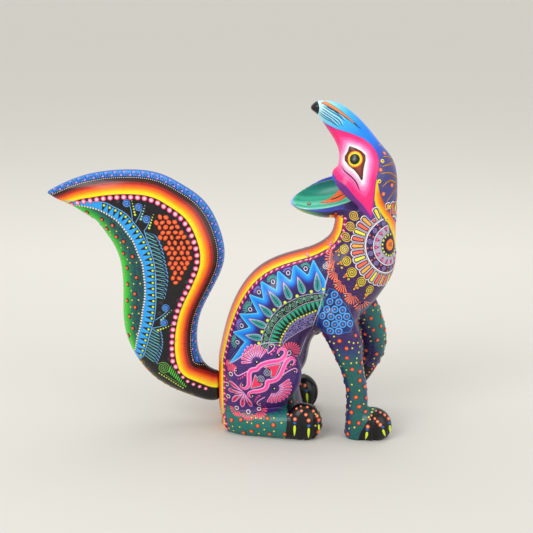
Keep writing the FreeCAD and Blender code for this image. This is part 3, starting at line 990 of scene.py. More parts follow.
# %% Paint the haunch
SCROLLS = [
    [(27, 80.5), (26.5, 84), (29, 86.5), (33, 85), (33.5, 81), (29, 77.5), (22, 76.5), (16, 75.5),
     (10, 73), (7, 70), (2, 68.5), (0, 65), (0, 60), (-0.5, 54), (-4, 50), (-8, 52), (-6.5, 55.5)],
    [(38, 71), (41, 72), (42, 75.5), (38.5, 77.5), (34, 75), (31.5, 70), (29, 64.5), (26, 60.5),
     (21, 58.5), (17, 58), (16.5, 54), (14, 50.5), (9, 48.5), (3.5, 47.5), (-0.5, 45),
     (0.5, 41.5), (4, 42)],
]
DIAMONDS = [[(29.5, 74.5), (24, 62.5), (20, 62.5), (20.5, 68), (14, 72)],
            [(5.5, 64.5), (12.5, 55.5), (10.5, 53.5), (1.5, 50.8)]]
DROP_HUB = (-5, 46)
DROPS = [(-19, 54), (-20, 42.5), (-16.5, 31.5), (-7, 27.5), (2, 29)]
SHELLS = [((37, 82), 45, 10.5, 13, 190), ((-17, 62), 100, 10, 9, 80),
          ((-21, 48), 150, 6, 7, 110), ((-20, 36), 195, 7.5, 8, 110),
          ((-12, 26), 245, 7, 8, 120), ((-1, 24), 268, 7.5, 8, 130), ((9, 27), 300, 8, 8, 120)]
TENDRILS = [([(-0.5, 68), (-6, 64.5), (-10.5, 62), (-13.5, 64), (-13.5, 67.5), (-11.5, 69)],
             (-12, 66.5), [(-4, 63.5), (-6, 61.5), (-8, 60), (-10, 59)]),
            ([(28.7, 62), (33, 65), (37, 67), (42, 68), (44.5, 66), (43.5, 63.5)],
             (41.8, 65.3), [(34.5, 69), (37.4, 70.6), (40.2, 71.3), (43, 71)]),
            ([(17, 83.5), (21.3, 86), (23.5, 89), (21.5, 91.5), (18.5, 90.5)],
             (20.5, 89.3), [(20.5, 83), (23, 85.4), (25, 87.5), (26, 90)]),
            ([(14.5, 42), (9.7, 38.5), (7.2, 35), (8.5, 32), (11, 31.5)],
             (10, 34.3), [(9.5, 43.5), (7.6, 41.5), (6.2, 39.3), (5.4, 37)])]
HOOK_EYES = [(27, 81.5), (38, 72), (-6, 53.5), (3, 43)]
HEARTS = [(7, 76), (23, 51)]


def paint_haunch(touch):
    stroke("haunch_paint", "grey_line", touch, HAUNCH_TOP[1:], 1.3, 0.2, swell=tapered)
    petal_fan("haunch_paint", touch, HEARTS[0], 118, 134, 4.6, 15.5, 10, 2.8)
    petal_fan("haunch_paint", touch, HEARTS[1], -42, 138, 4.8, 17.5, 11, 3.2)
    for diamond in DIAMONDS:
        patch("haunch_paint", "hot_pink", touch, diamond, rounded=False)
        stroke("haunch_paint", "grey_line", touch, diamond, 0.8, lift=0.12, closed=True,
               rounded=False)
    for middle, start in (((16.5, 67), 200), ((11, 60.5), 20)):
        dot("haunch_paint", "violet_disc", touch, *middle, 4.2, 0.07, lift=0.15)
        spiral("haunch_paint", "grey_spiral", touch, middle, 3.7, 2.6, 0.75, start, lift=0.35)
    for scroll in SCROLLS:
        stroke("haunch_paint", "scroll", touch, scroll, 4.9, 0.5, swell=tapered, step=0.9)
    for tip in DROPS:
        stroke("haunch_paint", "pink_line", touch, [DROP_HUB, tip], 5.8, 0.2, swell=petal)
        core = [between(DROP_HUB, tip, 0.3), between(DROP_HUB, tip, 0.96)]
        stroke("haunch_paint", "red_drop", touch, core, 3.2, 0.2, 0.15, swell=petal)
    for heart, heading, reach, blades, spread in SHELLS:
        fan("haunch_paint", "coral_fan", touch, heart, heading, spread, 2.8, reach, blades, 1.8)
        dot("haunch_paint", "violet_disc", touch, *heart, 2.3, 0.1)
        ring("haunch_paint", "white_line", touch, heart, 1.7, 0.8, lift=0.12)
        dot("haunch_paint", "red_drop", touch, *heart, 0.8, 0.3, lift=0.15)
    for eye in HOOK_EYES + HEARTS:
        dot("haunch_paint", "black", touch, *eye, 1.9, 0.2, lift=0.2)
        dot("haunch_paint", "cream_bead", touch, eye[0] + 0.2, eye[1] + 0.3, 0.75, 0.4, lift=0.6)
    for line, eye, beads in TENDRILS:
        stroke("haunch_paint", "pink_line", touch, line, 1.1, 0.25)
        dot("haunch_paint", "black", touch, *eye, 1.6, 0.15)
        dot("haunch_paint", "cream_bead", touch, *eye, 0.7, 0.4, lift=0.35)
        for k, bead in enumerate(beads):
            dot("haunch_paint", "magenta_bead", touch, *bead, 1.25 - 0.16 * k, 0.4)


for side in SIDES:
    paint_haunch(from_side(figure_tree, side, keep=inside_ridge))
print("haunch paint:", len(layers["haunch_paint"]["faces"]), "faces")

# %% [markdown]
# ## Dotted legs and feet
# The legs carry orange dots with dark rims and small yellow dots between them, on every side.
# They are thrown at random, and a dot stays only where it is far enough from its neighbours,
# which gives the loose, even spread of a patient hand.

# %% Scatter dots over the legs
def figure_zone(spot):
    """Names the part of the legs that a spot is on, or nothing."""
    x, y, z = spot
    if x > 60 and y < -12 and z < 101 and not (z < 30 and x > 100 + (z > 8) * (z - 8) * 0.75):
        return "standing"
    if x > 70 and y > 12 and z < 118 and (x - 108) * 0.55 + z - 53 > 0 and x > 100:
        return "raised"
    if -27 < x < 33 and z < 21 and abs(y) > 12:
        return "foot"
    return None


def scatter(name, tree, mesh, choose, tries, kinds):
    """Throws dots at a mesh; kinds is a row of (paint, radius, gap to any other dot)."""
    areas = np.array([polygon.area for polygon in mesh.polygons])
    order = np.cumsum(areas) / areas.sum()
    placed = []
    for paint, radius, gap in kinds:
        for _ in range(tries):
            polygon = mesh.polygons[int(np.searchsorted(order, random.random()))]
            spot, facing = polygon.center, polygon.normal
            if not choose(spot):
                continue
            if any((spot - other).length < gap + size for other, size in placed):
                continue
            placed.append((spot.copy(), radius))
            here = (spot.copy(), facing.copy())

            def touch(u, v, here=here):
                return here
            touch.tree = tree
            dot(name, paint, touch, 0, 0, radius * random.uniform(0.88, 1.08), 0.38,
                random.uniform(0.85, 1.0), random.uniform(0, 3))
    print(name, "took", len(placed), "thrown dots")


def on_skin_up(spot):
    return figure_zone(spot) is not None and spot.z > 2


scatter("leg_paint", figure_tree, figure_skin, on_skin_up, 5200,
        [("orange_dot", 2.35, 5.6), ("yellow_dot", 1.3, 2.6)])

# %% [markdown]
# ## Paws: black toes with beads, blue nails and lime claws
# Rows of beads grow towards each toe, then a dab of blue and one quick tapering claw.

# %% Paint the paws
HIND_ROWS = [
    ([(36, 24.5), (39, 24.5), (42.5, 22)], (42.2, 17.5), (42, 5)),
    ([(39.5, 29), (44, 30.5), (48.5, 29.5), (52.5, 26.5), (55, 21.5)], (55.2, 15.5), (55, 3)),
    ([(48, 32.5), (54, 32), (59.5, 28.5), (63, 24)], (64.5, 17), (65.5, 5)),
]
INNER_ROWS = [([(45, 26.5), (49.5, 27), (54, 25.5)], (56, 19.5), (57, 7))]
FORE_ROWS = [
    ([(112, 22), (110, 15.5)], (109.5, 11.5), (108.5, 1.5)),
    ([(113.5, 25), (116.5, 22.5), (119, 20), (121.5, 17)], (124, 13.5), (127, 4)),
    ([(118, 28), (122, 26.5), (126, 24), (129.5, 20)], (131, 15), (132, 5)),
]


def paint_toes(touch, rows):
    for beads, nail, claw in rows:
        for k, spot in enumerate(beads):
            dot("paw_paint", "paw_bead", touch, *spot, 1.1 + 0.9 * k / max(len(beads) - 1, 1),
                0.45)
        stroke("paw_paint", "claw_blue", touch, [(nail[0], nail[1] + 2.2), nail], 3.4, 0.2)
        stroke("paw_paint", "claw", touch, [(nail[0], nail[1] - 1), claw], 2.7, 0.45, swell=leaf,
               step=0.8)


for side in SIDES:
    paint_toes(flank_stencil[side], HIND_ROWS)
    inner = from_side(figure_tree, side, start=-3.0, grazing=0.1)
    paint_toes(inner, INNER_ROWS)
paint_toes(flank_stencil[-1], FORE_ROWS)
hanging_paw = from_side(figure_tree, -1, start=-8.0, grazing=0.1)
for k, spot in enumerate([(122, 47.5), (120, 44.5), (117.5, 41.5), (115, 38.5)]):
    dot("paw_paint", "paw_bead", hanging_paw, *spot, 1.2 - 0.1 * k, 0.4)
for k, spot in enumerate([(117, 45), (112, 41), (106, 36)]):
    dot("paw_paint", "paw_bead", flank_stencil[1], *spot, 1.0 + 0.2 * k, 0.4)
stroke("paw_paint", "claw", flank_stencil[1], [(103, 33), (98.5, 27)], 2.2, 0.4, swell=leaf)
print("paw paint:", len(layers["paw_paint"]["faces"]), "faces")

# %% [markdown]
# ## The shoulder patch of blue cells
# About twenty round cells stand shoulder to shoulder, each with a pale rim, a navy heart and a
# speck in the middle. They sit over the joint of the foreleg and hide it.

# %% Paint the shoulder cells
CELL_GAP = (7.3, 6.6)


def paint_cells(touch):
    outline = np.array(OUTLINES["patch"], float)
    row = 0
    z = 105.0
    while z < 144:
        x = 60 + (CELL_GAP[0] / 2 if row % 2 else 0)
        while x < 100:
            spot = np.array([[x + random.uniform(-0.5, 0.5), z + random.uniform(-0.4, 0.4)]])
            if depth_inside(spot, outline)[0] > 1.6:
                dot("shoulder_paint", "cell", touch, *spot[0], random.uniform(3.5, 3.8), 0.12,
                    0.94, random.uniform(0, 3), sides=20)
            x += CELL_GAP[0]
        z += CELL_GAP[1]
        row += 1


for side in SIDES:
    paint_cells(flank_stencil[side])
print("shoulder paint:", len(layers["shoulder_paint"]["faces"]), "faces")

# %% [markdown]
# ## The chest wheel
# A great flower is wrapped round each side of the chest: an orange eye, rings of beads, a ring of
# spirals, petals on a dark bed, and gold discs with yellow tails outside them. The walking
# stencil keeps its rings round on the curved neck.

# %% Paint the chest wheel
crescent_outline = np.array(OUTLINES["crescent"], float)
mask_outline = np.array(OUTLINES["mask"], float)
PETAL_PAINTS = ["petal_coral", "petal_amber", "petal_coral", "petal_yellow"]
WHEEL_BEADS, WHEEL_WEDGES, WHEEL_SPIRALS, WHEEL_PETALS = 17, 15, 13, 36
BEAD_RING, SPIRAL_RING = 10.0, 22.6
GOLD_DISCS = [(96, 209), (93, 199), (89, 189), (87, 178), (89, 168), (94, 158), (103, 149),
              (111, 140)]
DISC_TAILS = [None, None, None, (79, 175), (80.5, 165), (86, 153.5), (95.5, 141.5), (106, 131)]
SHELL_HEARTS = [((80, 181), 170), ((79, 170), 190), ((80.5, 159.5), 205), ((86.5, 149), 222),
                ((96, 138), 238), ((105, 130), 262)]


def wheel_keeper(side):
    def keep(spot):
        here = np.array([[spot.x, spot.z]])
        if depth_inside(here, crescent_outline)[0] > -0.3:
            return False
        if depth_inside(here, mask_outline)[0] > -0.5:
            return False
        return spot.y * side > 0.4 and spot.z < 232
    return keep


def paint_wheel(side):
    spot, facing = flank_stencil[side](130, 180.5)
    touch = walking(figure_tree, spot, facing, side, wheel_keeper(side))
    name = "chest_paint"
    eye = (0.0, 0.0)
    ring(name, "silver_band", touch, eye, 14.8, 8.0, 0.08, step=1.6)
    dot(name, "eye_orange", touch, 0, 0, 5.6, 0.12, 1.0)
    spiral(name, "eye_red", touch, eye, 2.6, 1.6, 1.1, lift=0.6)
    ring(name, "black", touch, eye, 7.0, 1.9, 0.25)
    for k in range(WHEEL_BEADS):
        dot(name, "lime_bead", touch, *polar(eye, BEAD_RING, 360 * k / WHEEL_BEADS), 1.25, 0.4)
    for k in range(WHEEL_WEDGES):
        degrees = 360 * (k + 0.5) / WHEEL_WEDGES
        stroke(name, "petal_bed", touch, [polar(eye, 17.5, degrees), polar(eye, 13.2, degrees)],
               4.2, 0.15, 0.1, swell=wedge)
        dot(name, "magenta_bead", touch, *polar(eye, 16.6, degrees), 1.6, 0.45, lift=0.1)
    ring(name, "white_line", touch, eye, 19.0, 0.9)
    for k in range(WHEEL_SPIRALS):
        degrees = 360 * k / WHEEL_SPIRALS
        heart = polar(eye, SPIRAL_RING, degrees)
        dot(name, "violet_disc", touch, *heart, 3.1, 0.06)
        spiral(name, "lilac_line", touch, heart, 2.6, 2.1, 0.6, degrees, lift=0.15)
        for away in (20.9, 24.6):
            dot(name, "coral_dot", touch, *polar(eye, away, degrees + 13.8), 0.9, 0.5)
    ring(name, "white_line", touch, eye, 26.4, 1.3, 0.3)
    for k in range(WHEEL_PETALS):
        degrees = 360 * (k + 0.5) / WHEEL_PETALS
        for paint, inner, outer, width, lift in (
                ("white_line", 27.4, 40.6, 6.9, 0.0), ("petal_bed", 27.8, 39.7, 5.3, 0.12),
                (PETAL_PAINTS[k % len(PETAL_PAINTS)], 28.8, 38.8, 3.3, 0.24)):
            stroke(name, paint, touch, [polar(eye, inner, degrees), polar(eye, outer, degrees)],
                   width, 0.15, lift, swell=club)


def paint_discs(touch):
    name = "chest_paint"
    for (heart, heading), blades in zip(SHELL_HEARTS, (7, 9, 9, 9, 9, 8)):
        fan(name, "orange_fan", touch, heart, heading, 128, 2.2, 9.6, blades, 1.5)
    for heart, tail in zip(GOLD_DISCS, DISC_TAILS):
        if tail:
            stroke(name, "yellow_tail", touch, [heart, tail], 8.6, 0.22, swell=wedge)
            dot(name, "orange_dot", touch, *between(heart, tail, 0.7), 1.3, 0.4, lift=0.2)
            dot(name, "gold_disc", touch, *heart, 4.9, 0.06, lift=0.2)
            spiral(name, "brown_line", touch, heart, 4.1, 2.6, 0.8, 40, lift=0.45)
        else:
            dot(name, "disc_bed", touch, *heart, 5.2, 0.05)
            spiral(name, "gold", touch, heart, 4.6, 2.9, 1.15, 40, lift=0.25)
    for spot in [(84, 184), (82.5, 172.5), (85, 162), (91, 152), (99.5, 143.5)]:
        dot(name, "violet_disc", touch, *spot, 1.9, 0.1, lift=0.3)
        dot(name, "gold", touch, *spot, 1.3, 0.4, lift=0.4)
    for spot in [(79.5, 147), (88, 137), (99, 128), (76, 160)]:
        dot(name, "black", touch, *spot, 1.5, 0.2)
        dot(name, "cream_bead", touch, *spot, 0.8, 0.4, lift=0.3)


for side in SIDES:
    paint_wheel(side)
    paint_discs(from_side(figure_tree, side, keep=wheel_keeper(side)))
print("chest paint:", len(layers["chest_paint"]["faces"]), "faces")

# %% [markdown]
# ## The head: eye, whiskers, lips and flames
# The eye is painted, not set in: a red-brown almond, a ring from orange to yellow, and a dark
# pupil whose grey middle is a painted highlight. The whiskers are hair lines, and flames in gold
# run round the nape.

# %% Paint the head
ALMOND = [(91.2, 271.5), (97, 269.8), (102, 267.2), (105, 264), (105.2, 260), (104, 255.5),
          (103, 250), (102.6, 243), (101.5, 242.5), (99, 247), (95.5, 251), (91, 254.2),
          (87.4, 258.5), (87.4, 262), (90, 267)]
EYE_MIDDLE = (95.9, 260.4)
# The last ring is the pupil, with a painted highlight in its grey middle.
EYE_RINGS = [("eye_orange", 7.7, 0.05, 0.25), ("eye_yellow", 7.0, 0.05, 0.4),
             ("eye_green", 5.5, 0.06, 0.5), ("pupil_painted_glint", 4.8, 0.3, 0.5)]
WHISKERS = [[(63.5, 300), (70, 295.5), (76, 292.5), (81, 289)],
            [(65, 303), (72, 298.5), (78, 294.5), (82.5, 290)],
            [(66, 305), (74, 299.5), (81, 295), (84.5, 289.5)],
            [(67, 307), (75, 302), (82, 298), (87, 294)],
            [(69, 308.5), (76, 304), (84, 299.5), (90, 295)],
            [(64, 301.5), (69, 298), (74, 295), (78, 292.5)],
            [(68, 307.8), (73, 305), (79, 301.5), (85, 297)]]
NOSE_STRIPE = [(67, 310.4), (71, 308.9), (76, 306), (82, 302.2), (88.5, 297.6), (95, 292.3),
               (101, 287)]
LIP_LINE = [(84, 253), (87, 249), (93, 244.5), (97, 240), (100.5, 232.5)]
FLAMES = [[(136, 240), (128, 247.5), (119, 247.8)], [(134, 255), (128, 255), (120.5, 254)],
          [(134.5, 236), (128, 240.5), (120.5, 235.5)], [(136, 233), (131, 228), (125.5, 221.5)],
          [(131.5, 258), (126, 261.5), (121.5, 262)], [(136.5, 226), (134, 218), (131.5, 210)],
          [(125, 270), (122, 272), (118, 271.5)]]
HEAD_DOTS = [(123, 264.5), (119, 251), (122, 229), (134.5, 209.5), (130, 236)]
HEAD_RINGS = [(121, 258.5), (118, 241), (129, 216), (126, 205)]


def paint_head(touch):
    name = "head_paint"
    patch(name, "eye_red", touch, ALMOND, 0.15, rounded=False)
    stroke(name, "eye_line", touch, ALMOND, 0.55, 0.1, 0.12, closed=True, rounded=False)
    for paint, radius, rise, lift in EYE_RINGS:
        dot(name, paint, touch, *EYE_MIDDLE, radius, rise, lift=lift, sides=28)
    for path in WHISKERS:
        stroke(name, "whisker", touch, path, 0.95, 0.15, swell=tapered)
        pale = [(x + 1.0, z + 1.1) for x, z in path]
        stroke(name, "pale_hair", touch, pale, 0.6, 0.12, swell=tapered)
    stroke(name, "black", touch, NOSE_STRIPE, 5.6, 0.14, swell=lambda s: 0.96 - 0.86 * s)
    stroke(name, "wedge_orange", touch, NOSE_STRIPE[:-1], 4.2, 0.14, 0.14,
           swell=lambda s: 1.0 - 0.85 * s)
    stroke(name, "eye_line", touch, LIP_LINE, 1.3, 0.12, swell=tapered)
    for path in FLAMES:
        stroke(name, "flame", touch, path, 3.8, 0.2, swell=lambda s: max(0.9 - 0.8 * s, 0.1))
        stroke(name, "flame_core", touch, path[:-1] + [tuple(np.mean(path[-2:], axis=0))], 1.8,
               0.12, 0.2, swell=wedge)
    for spot in HEAD_DOTS:
        dot(name, "coral_dot", touch, *spot, 2.1, 0.35)
    for spot in HEAD_RINGS:
        dot(name, "eye_yellow", touch, *spot, 2.0, 0.3)
        dot(name, "leaf_vein", touch, *spot, 0.8, 0.3, lift=0.5)


for side in SIDES:
    paint_head(flank_stencil[side])
print("head paint:", len(layers["head_paint"]["faces"]), "faces")

# %% [markdown]
# ## The jaw: a flame tongue and a beaded chin
# The tongue is painted in the scooped jaw, and the chin carries coral dots on lime and green.

# %% Paint the jaw
CHIN_LEVEL = -4.2


def on_chin(spot):
    """True below the lip of the jaw."""
    return ((np.array(spot) - JAW_START) @ jaw_axes)[2] < CHIN_LEVEL


TONGUE = [(66, 214.3), (72, 216.6), (79, 220.8), (84, 225.6), (86.6, 226.4), (89.2, 223.6),
          (91, 221.4), (86, 218), (80, 215.8), (73, 214.5)]
jaw_touch = from_side(figure_tree, -1, grazing=0.03)
patch("jaw_paint", "tongue", jaw_touch, TONGUE, 0.15, rings=6)
stroke("jaw_paint", "black", jaw_touch, [(76, 217.2), (83, 219.8), (90, 224)], 1.7, 0.12, 0.2,
       swell=leaf)
CHIN_DOTS = [(41, 209.5), (44, 212), (47, 209), (50, 211.5), (53.5, 207.5), (58, 210.5),
             (63, 207.5), (67, 211), (71, 208), (75, 211.5), (80, 208.5), (56, 213), (86, 207)]
for side in SIDES:
    chin = from_side(figure_tree, side, keep=on_chin)
    for spot in CHIN_DOTS:
        dot("jaw_paint", "rim_black", chin, *spot, 1.9, 0.1)
        dot("jaw_paint", "coral_dot", chin, *spot, 1.3, 0.4, lift=0.12)
print("jaw paint:", len(layers["jaw_paint"]["faces"]), "faces")

# %% [markdown]
# ## The tail: rim beads, feathers, pebbles and stars
# The bands along the rim are part of the ground coat. The raised work on it is a double chain of
# beads, two line-drawn feathers with blue curls, a field of orange pebbles and fine stars.

# %% Paint the tail's chains and rim
tail_touch = {side: from_side(tail_tree, side, grazing=0.1) for side in SIDES}
scales = band_scale(run_marks)
rim_row = outer_row[:count]
BEAD_DEPTH, FINE_DEPTH, SWIRL_DEPTH = 26.2, 6.5, 3.0


def along_rim(amount):
    """A line that follows the rim at a depth, narrowing with the bands."""
    return inset(rim_row, -1, amount * scales)


FEATHER_LOOPS = [
    ([(-96, 194), (-93, 184), (-90, 175), (-88, 165), (-86.5, 152), (-86.5, 140), (-86.5, 130)],
     [(-93, 194), (-84, 186), (-80, 178), (-78, 168), (-76, 158), (-75, 147), (-79, 128)], 16),
    ([(-91, 101), (-93.5, 94), (-95.5, 87), (-98, 79), (-100, 72)],
     [(-86, 101), (-82.5, 94), (-81.5, 86), (-83, 77), (-88, 63)], 11),
]
CURLS = [((-112, 219.5), (-107, 204)), ((-101, 216), (-104, 202)), ((-94, 205), (-96.5, 194)),
         ((-78, 121), (-88, 109)), ((-80, 106.5), (-91, 101))]
KIDNEY = [(-88, 203), (-85, 209), (-76, 210.5), (-69, 205.5), (-61, 196), (-54, 186), (-52.5, 173),
          (-54, 162), (-58, 152), (-62, 144.5), (-68, 143.5), (-73, 149), (-74.5, 161),
          (-77, 174), (-81, 184), (-86, 194)]
GREEN_DOTS = [(-150, 209), (-136, 203), (-126, 198), (-132, 194), (-123, 187), (-116, 183),
              (-117, 171), (-108, 169), (-114, 157), (-105, 149), (-114, 141), (-107, 133),
              (-115, 125), (-107, 120), (-113, 110), (-110, 99), (-115, 90)]


def feather(touch, spine, tips, loops):
    """Comb of narrow loops that leave a spine and turn back at their tips."""
    starts = np.array(smooth_line(spine, 0.5))
    ends = np.array(smooth_line(tips, 0.5))
    for k in range(loops):
        a = starts[int((k + 0.5) / loops * (len(starts) - 1))]
        b = ends[int(min(1, (k + 0.5) / loops * 0.85 + 0.14) * (len(ends) - 1))]
        middle = (a + b) / 2 + (1.2, 0.8)
        stroke("tail_paint", "feather_line", touch, [a, middle, b], 3.5, 0.12, swell=finger)
        stroke("tail_paint", "rim_black", touch, [a, middle, b - (0.6, 0.4)], 2.3, 0.1, 0.14,
               swell=finger)
        stroke("tail_paint", "feather_core", touch, [a, a + (b - a) * 0.8], 0.8, 0.1, 0.28,
               swell=tapered)
    stroke("tail_paint", "feather_line", touch, spine, 0.8, 0.2, 0.2)


def paint_tail(touch):
    chain("tail_paint", "bead", touch, along_rim(BEAD_DEPTH), 6.3, 2.7, 0.92, 0.3,
          fade=lambda k: 0.72 if k < 6 else 1.0)
    chain("tail_rim_paint", "cream_bead", touch, along_rim(FINE_DEPTH), 1.9, 0.5, rise=0.5)
    for k, (at, way) in enumerate(spots_along(along_rim(SWIRL_DEPTH), 8.6)):
        turn = math.atan2(way[1], way[0])
        dot("tail_rim_paint", "swirl_blue", touch, *at, 2.6, 0.08, 0.72, turn)
        spiral("tail_rim_paint", "feather_line", touch, at, 1.7, 1.6, 0.4, 90 * k, lift=0.25)
        slant = np.array([way[1], -way[0]])
        wave = [at + way * 3.2 - slant * 1.9, at + way * 4.3, at + way * 5.6 + slant * 1.9]
        stroke("tail_rim_paint", "swirl_blue", touch, wave, 1.0, 0.12, swell=tapered)
        for share, depth in ((3.0, 1.4), (5.6, -1.3)):
            spot = at + way * share + slant * depth
            dot("tail_rim_paint", "rim_pink", touch, *spot, 0.95, 0.3, 0.7)
    stroke("tail_paint", "feather_line", touch, VEIN, 0.8, 0.2)
    chain("tail_paint", "cream_bead", touch, WHITE_CHAIN, 2.7, 1.25, 0.8, 0.4,
          fade=lambda k: min(1.0, 0.6 + 0.05 * k))
    for at, way in spots_along(VEIN[2:-1], 5.9, offset=2):
        toward = np.array([way[1], -way[0]])
        if toward[0] > 0:
            toward = -toward
        stroke("tail_paint", "triangle_black", touch, [at + toward * 0.6, at + toward * 8.6], 5.6,
               0.1, swell=wedge)
        dot("tail_paint", "lime_bead", touch, *(at + toward * 2.3), 1.35, 0.4, lift=0.1)
    for spine, tips, loops in FEATHER_LOOPS:
        feather(touch, spine, tips, loops)
    for number, (heart, root) in enumerate(CURLS):
        bend = np.array([(heart[0] + root[0]) / 2 + 2.0, (heart[1] + root[1]) / 2 - 1.0])
        edge = (heart[0] + 3.0, heart[1] - 1.5)
        stroke("tail_paint", "feather_line", touch, [root, bend, edge], 0.7, 0.2)
        dot("tail_paint", "curl", touch, *heart, 3.7, 0.15)
        spiral("tail_paint", "feather_line", touch, heart, 3.0, 1.7, 0.6, 90, lift=0.6)
        away = np.subtract(heart, root) / np.hypot(*np.subtract(heart, root))
        aside = np.array([away[1], -away[0]])
        for j in range(6):
            spot = np.add(root, away * (4 + 2.6 * j)) + aside * (4.2 + 0.25 * j)
            dot("tail_paint", "pale_dot" if number % 2 else "lime_bead", touch, *spot,
                1.25 - 0.15 * j, 0.4)
    patch("tail_paint", "pebble_bed", touch, KIDNEY, 0.1, rings=8)
    outline = np.array(KIDNEY, float)
    for row, z in enumerate(np.arange(145.3, 212.0, 4.75)):
        for column in range(12):
            x = -90 + 5.5 * column + (2.7 if row % 2 else 0) + random.uniform(-0.5, 0.5)
            here = np.array([[x, z + random.uniform(-0.4, 0.4)]])
            if depth_inside(here, outline)[0] > 1.3:
                dot("tail_paint", "pebble", touch, *here[0], random.uniform(2.45, 2.75), 0.4,
                    random.uniform(0.7, 0.9), random.uniform(0, 3), lift=0.15)
    for spot in GREEN_DOTS:
        dot("tail_paint", "rim_black", touch, *spot, 2.5, 0.06)
        dot("tail_paint", "orange_dot", touch, *spot, 1.85, 0.4, lift=0.1)
        for shift in ((4.5, -5.5), (-3.5, -6.5)):
            dot("tail_paint", "yellow_dot", touch, spot[0] + shift[0] * 0.8,
                spot[1] + shift[1], 1.1, 0.3)


for side in SIDES:
    paint_tail(tail_touch[side])

# %% Paint the tail's foot, its stars and the plume
STAR_FIELD = [(-66, 205), (-96, 213), (-48, 168), (-50, 178), (-90, 207), (-60, 138), (-66, 128),
              (-72, 118), (-68, 108), (-74, 98), (-70, 88), (-74, 78), (-76, 70), (-104, 217),
              (-58, 146), (-82, 126), (-84, 116), (-120, 221), (-49, 158), (-84, 200)]


def paint_tail_foot(touch):
    spiral("tail_paint", "green_line", touch, (-81.5, 60.5), 6.2, 3.4, 0.8, 20)
    for k in range(11):
        root = (-77 + 1.55 * k, 55.5 - 1.55 * k)
        reach = 8.6 - 0.6 * k
        stroke("tail_paint", "lime_plume", touch, [root, (root[0] + reach * 0.35,
               root[1] + reach)], 1.3, 0.25, swell=leaf, step=0.8)
    chain("tail_paint", "lime_bead", touch, [(-86, 54), (-78, 49), (-71, 44), (-64, 39)], 2.7,
          0.95)
    stroke("tail_paint", "green_line", touch, [(-85, 56.5), (-77, 51), (-70, 46), (-62, 41)], 0.5)
    for k, spot in enumerate([(-103, 63), (-98, 56), (-93, 50), (-88, 45.5), (-82, 41.5),
                              (-76, 38), (-70, 35), (-63, 32.5), (-56, 30.5)]):
        paint = "coral_dot" if k % 2 else "gold"
        dot("tail_paint", paint, touch, *spot, 2.0 - 0.1 * k, 0.35)
        ring("tail_paint", "olive_line", touch, spot, 2.9 - 0.12 * k, 0.6)
    for spot in STAR_FIELD:
        for k in range(6):
            degrees = 60 * k + 7 * spot[0]
            stroke("tail_paint", "star_grey", touch, [polar(spot, 0.5, degrees),
                   polar(spot, 2.0, degrees)], 0.32, 0.08)


for side in SIDES:
    paint_tail_foot(tail_touch[side])
print("tail paint:", len(layers["tail_paint"]["faces"]), "faces")

# %% [markdown]
# ## Shared effects
# Four effects come back in the finishes. Brushwork gives the slight streaks and pooling of a
# hand-laid coat. Speckle is the field of tiny touches on most grounds, and foam is the net of
# fine lines under the arches. Wood grain shows on the bare pins and the tenon.

# %% Node groups
def effect(name, inputs, outputs):
    """Starts a shader node group with named inputs and outputs."""
    group = bpy.data.node_groups.new(name, "ShaderNodeTree")
    for label, value in inputs:
        socket = group.interface.new_socket(label, in_out="INPUT", socket_type="NodeSocketFloat")
        socket.default_value = value
    for label in outputs:
        group.interface.new_socket(label, in_out="OUTPUT", socket_type="NodeSocketFloat")
    start = group.nodes.new("NodeGroupInput")
    end = group.nodes.new("NodeGroupOutput")
    return group, start, end


def math_node(tree, kind, first, second=None, clamp=False):
    node = tree.nodes.new("ShaderNodeMath")
    node.operation = kind
    node.use_clamp = clamp
    for socket, value in zip(node.inputs, (first, second)):
        if value is None:
            continue
        if isinstance(value, (int, float)):
            socket.default_value = value
        else:
            tree.links.new(value, socket)
    return node.outputs[0]


def make_brushwork():
    group, start, end = effect("Brushwork", [("Streak Scale", 220.0), ("Strength", 1.0)],
                               ["Shade", "Roughness", "Height"])
    place = group.nodes.new("ShaderNodeTexCoord")
    streaks = group.nodes.new("ShaderNodeTexNoise")
    streaks.inputs["Detail"].default_value = 4
    group.links.new(place.outputs["Object"], streaks.inputs["Vector"])
    group.links.new(start.outputs["Streak Scale"], streaks.inputs["Scale"])
    pools = group.nodes.new("ShaderNodeTexNoise")
    pools.inputs["Scale"].default_value = 34
    group.links.new(place.outputs["Object"], pools.inputs["Vector"])
    swing = math_node(group, "SUBTRACT", streaks.outputs["Fac"], 0.5)
    pool_swing = math_node(group, "SUBTRACT", pools.outputs["Fac"], 0.5)
    both = math_node(group, "ADD", math_node(group, "MULTIPLY", swing, 0.55),
                     math_node(group, "MULTIPLY", pool_swing, 0.35))
    scaled = math_node(group, "MULTIPLY", both, start.outputs["Strength"])
    group.links.new(math_node(group, "ADD", scaled, 1.0), end.inputs["Shade"])
    rough = math_node(group, "ADD", math_node(group, "MULTIPLY", swing, 0.25), 0.3)
    group.links.new(rough, end.inputs["Roughness"])
    group.links.new(streaks.outputs["Fac"], end.inputs["Height"])
    return group


def make_cells(name, scale, label, size, crispness, feature="F1"):
    """Small cells; the mask covers what lies nearer to their middle or edge than the size."""
    group, start, end = effect(name, [("Scale", scale), (label, size)], ["Mask"])
    place = group.nodes.new("ShaderNodeTexCoord")
    cells = group.nodes.new("ShaderNodeTexVoronoi")
    cells.feature = feature
    group.links.new(place.outputs["Object"], cells.inputs["Vector"])
    group.links.new(start.outputs["Scale"], cells.inputs["Scale"])
    near = math_node(group, "SUBTRACT", start.outputs[label], cells.outputs["Distance"])
    crisp = math_node(group, "MULTIPLY", near, crispness, clamp=True)
    group.links.new(crisp, end.inputs["Mask"])
    return group


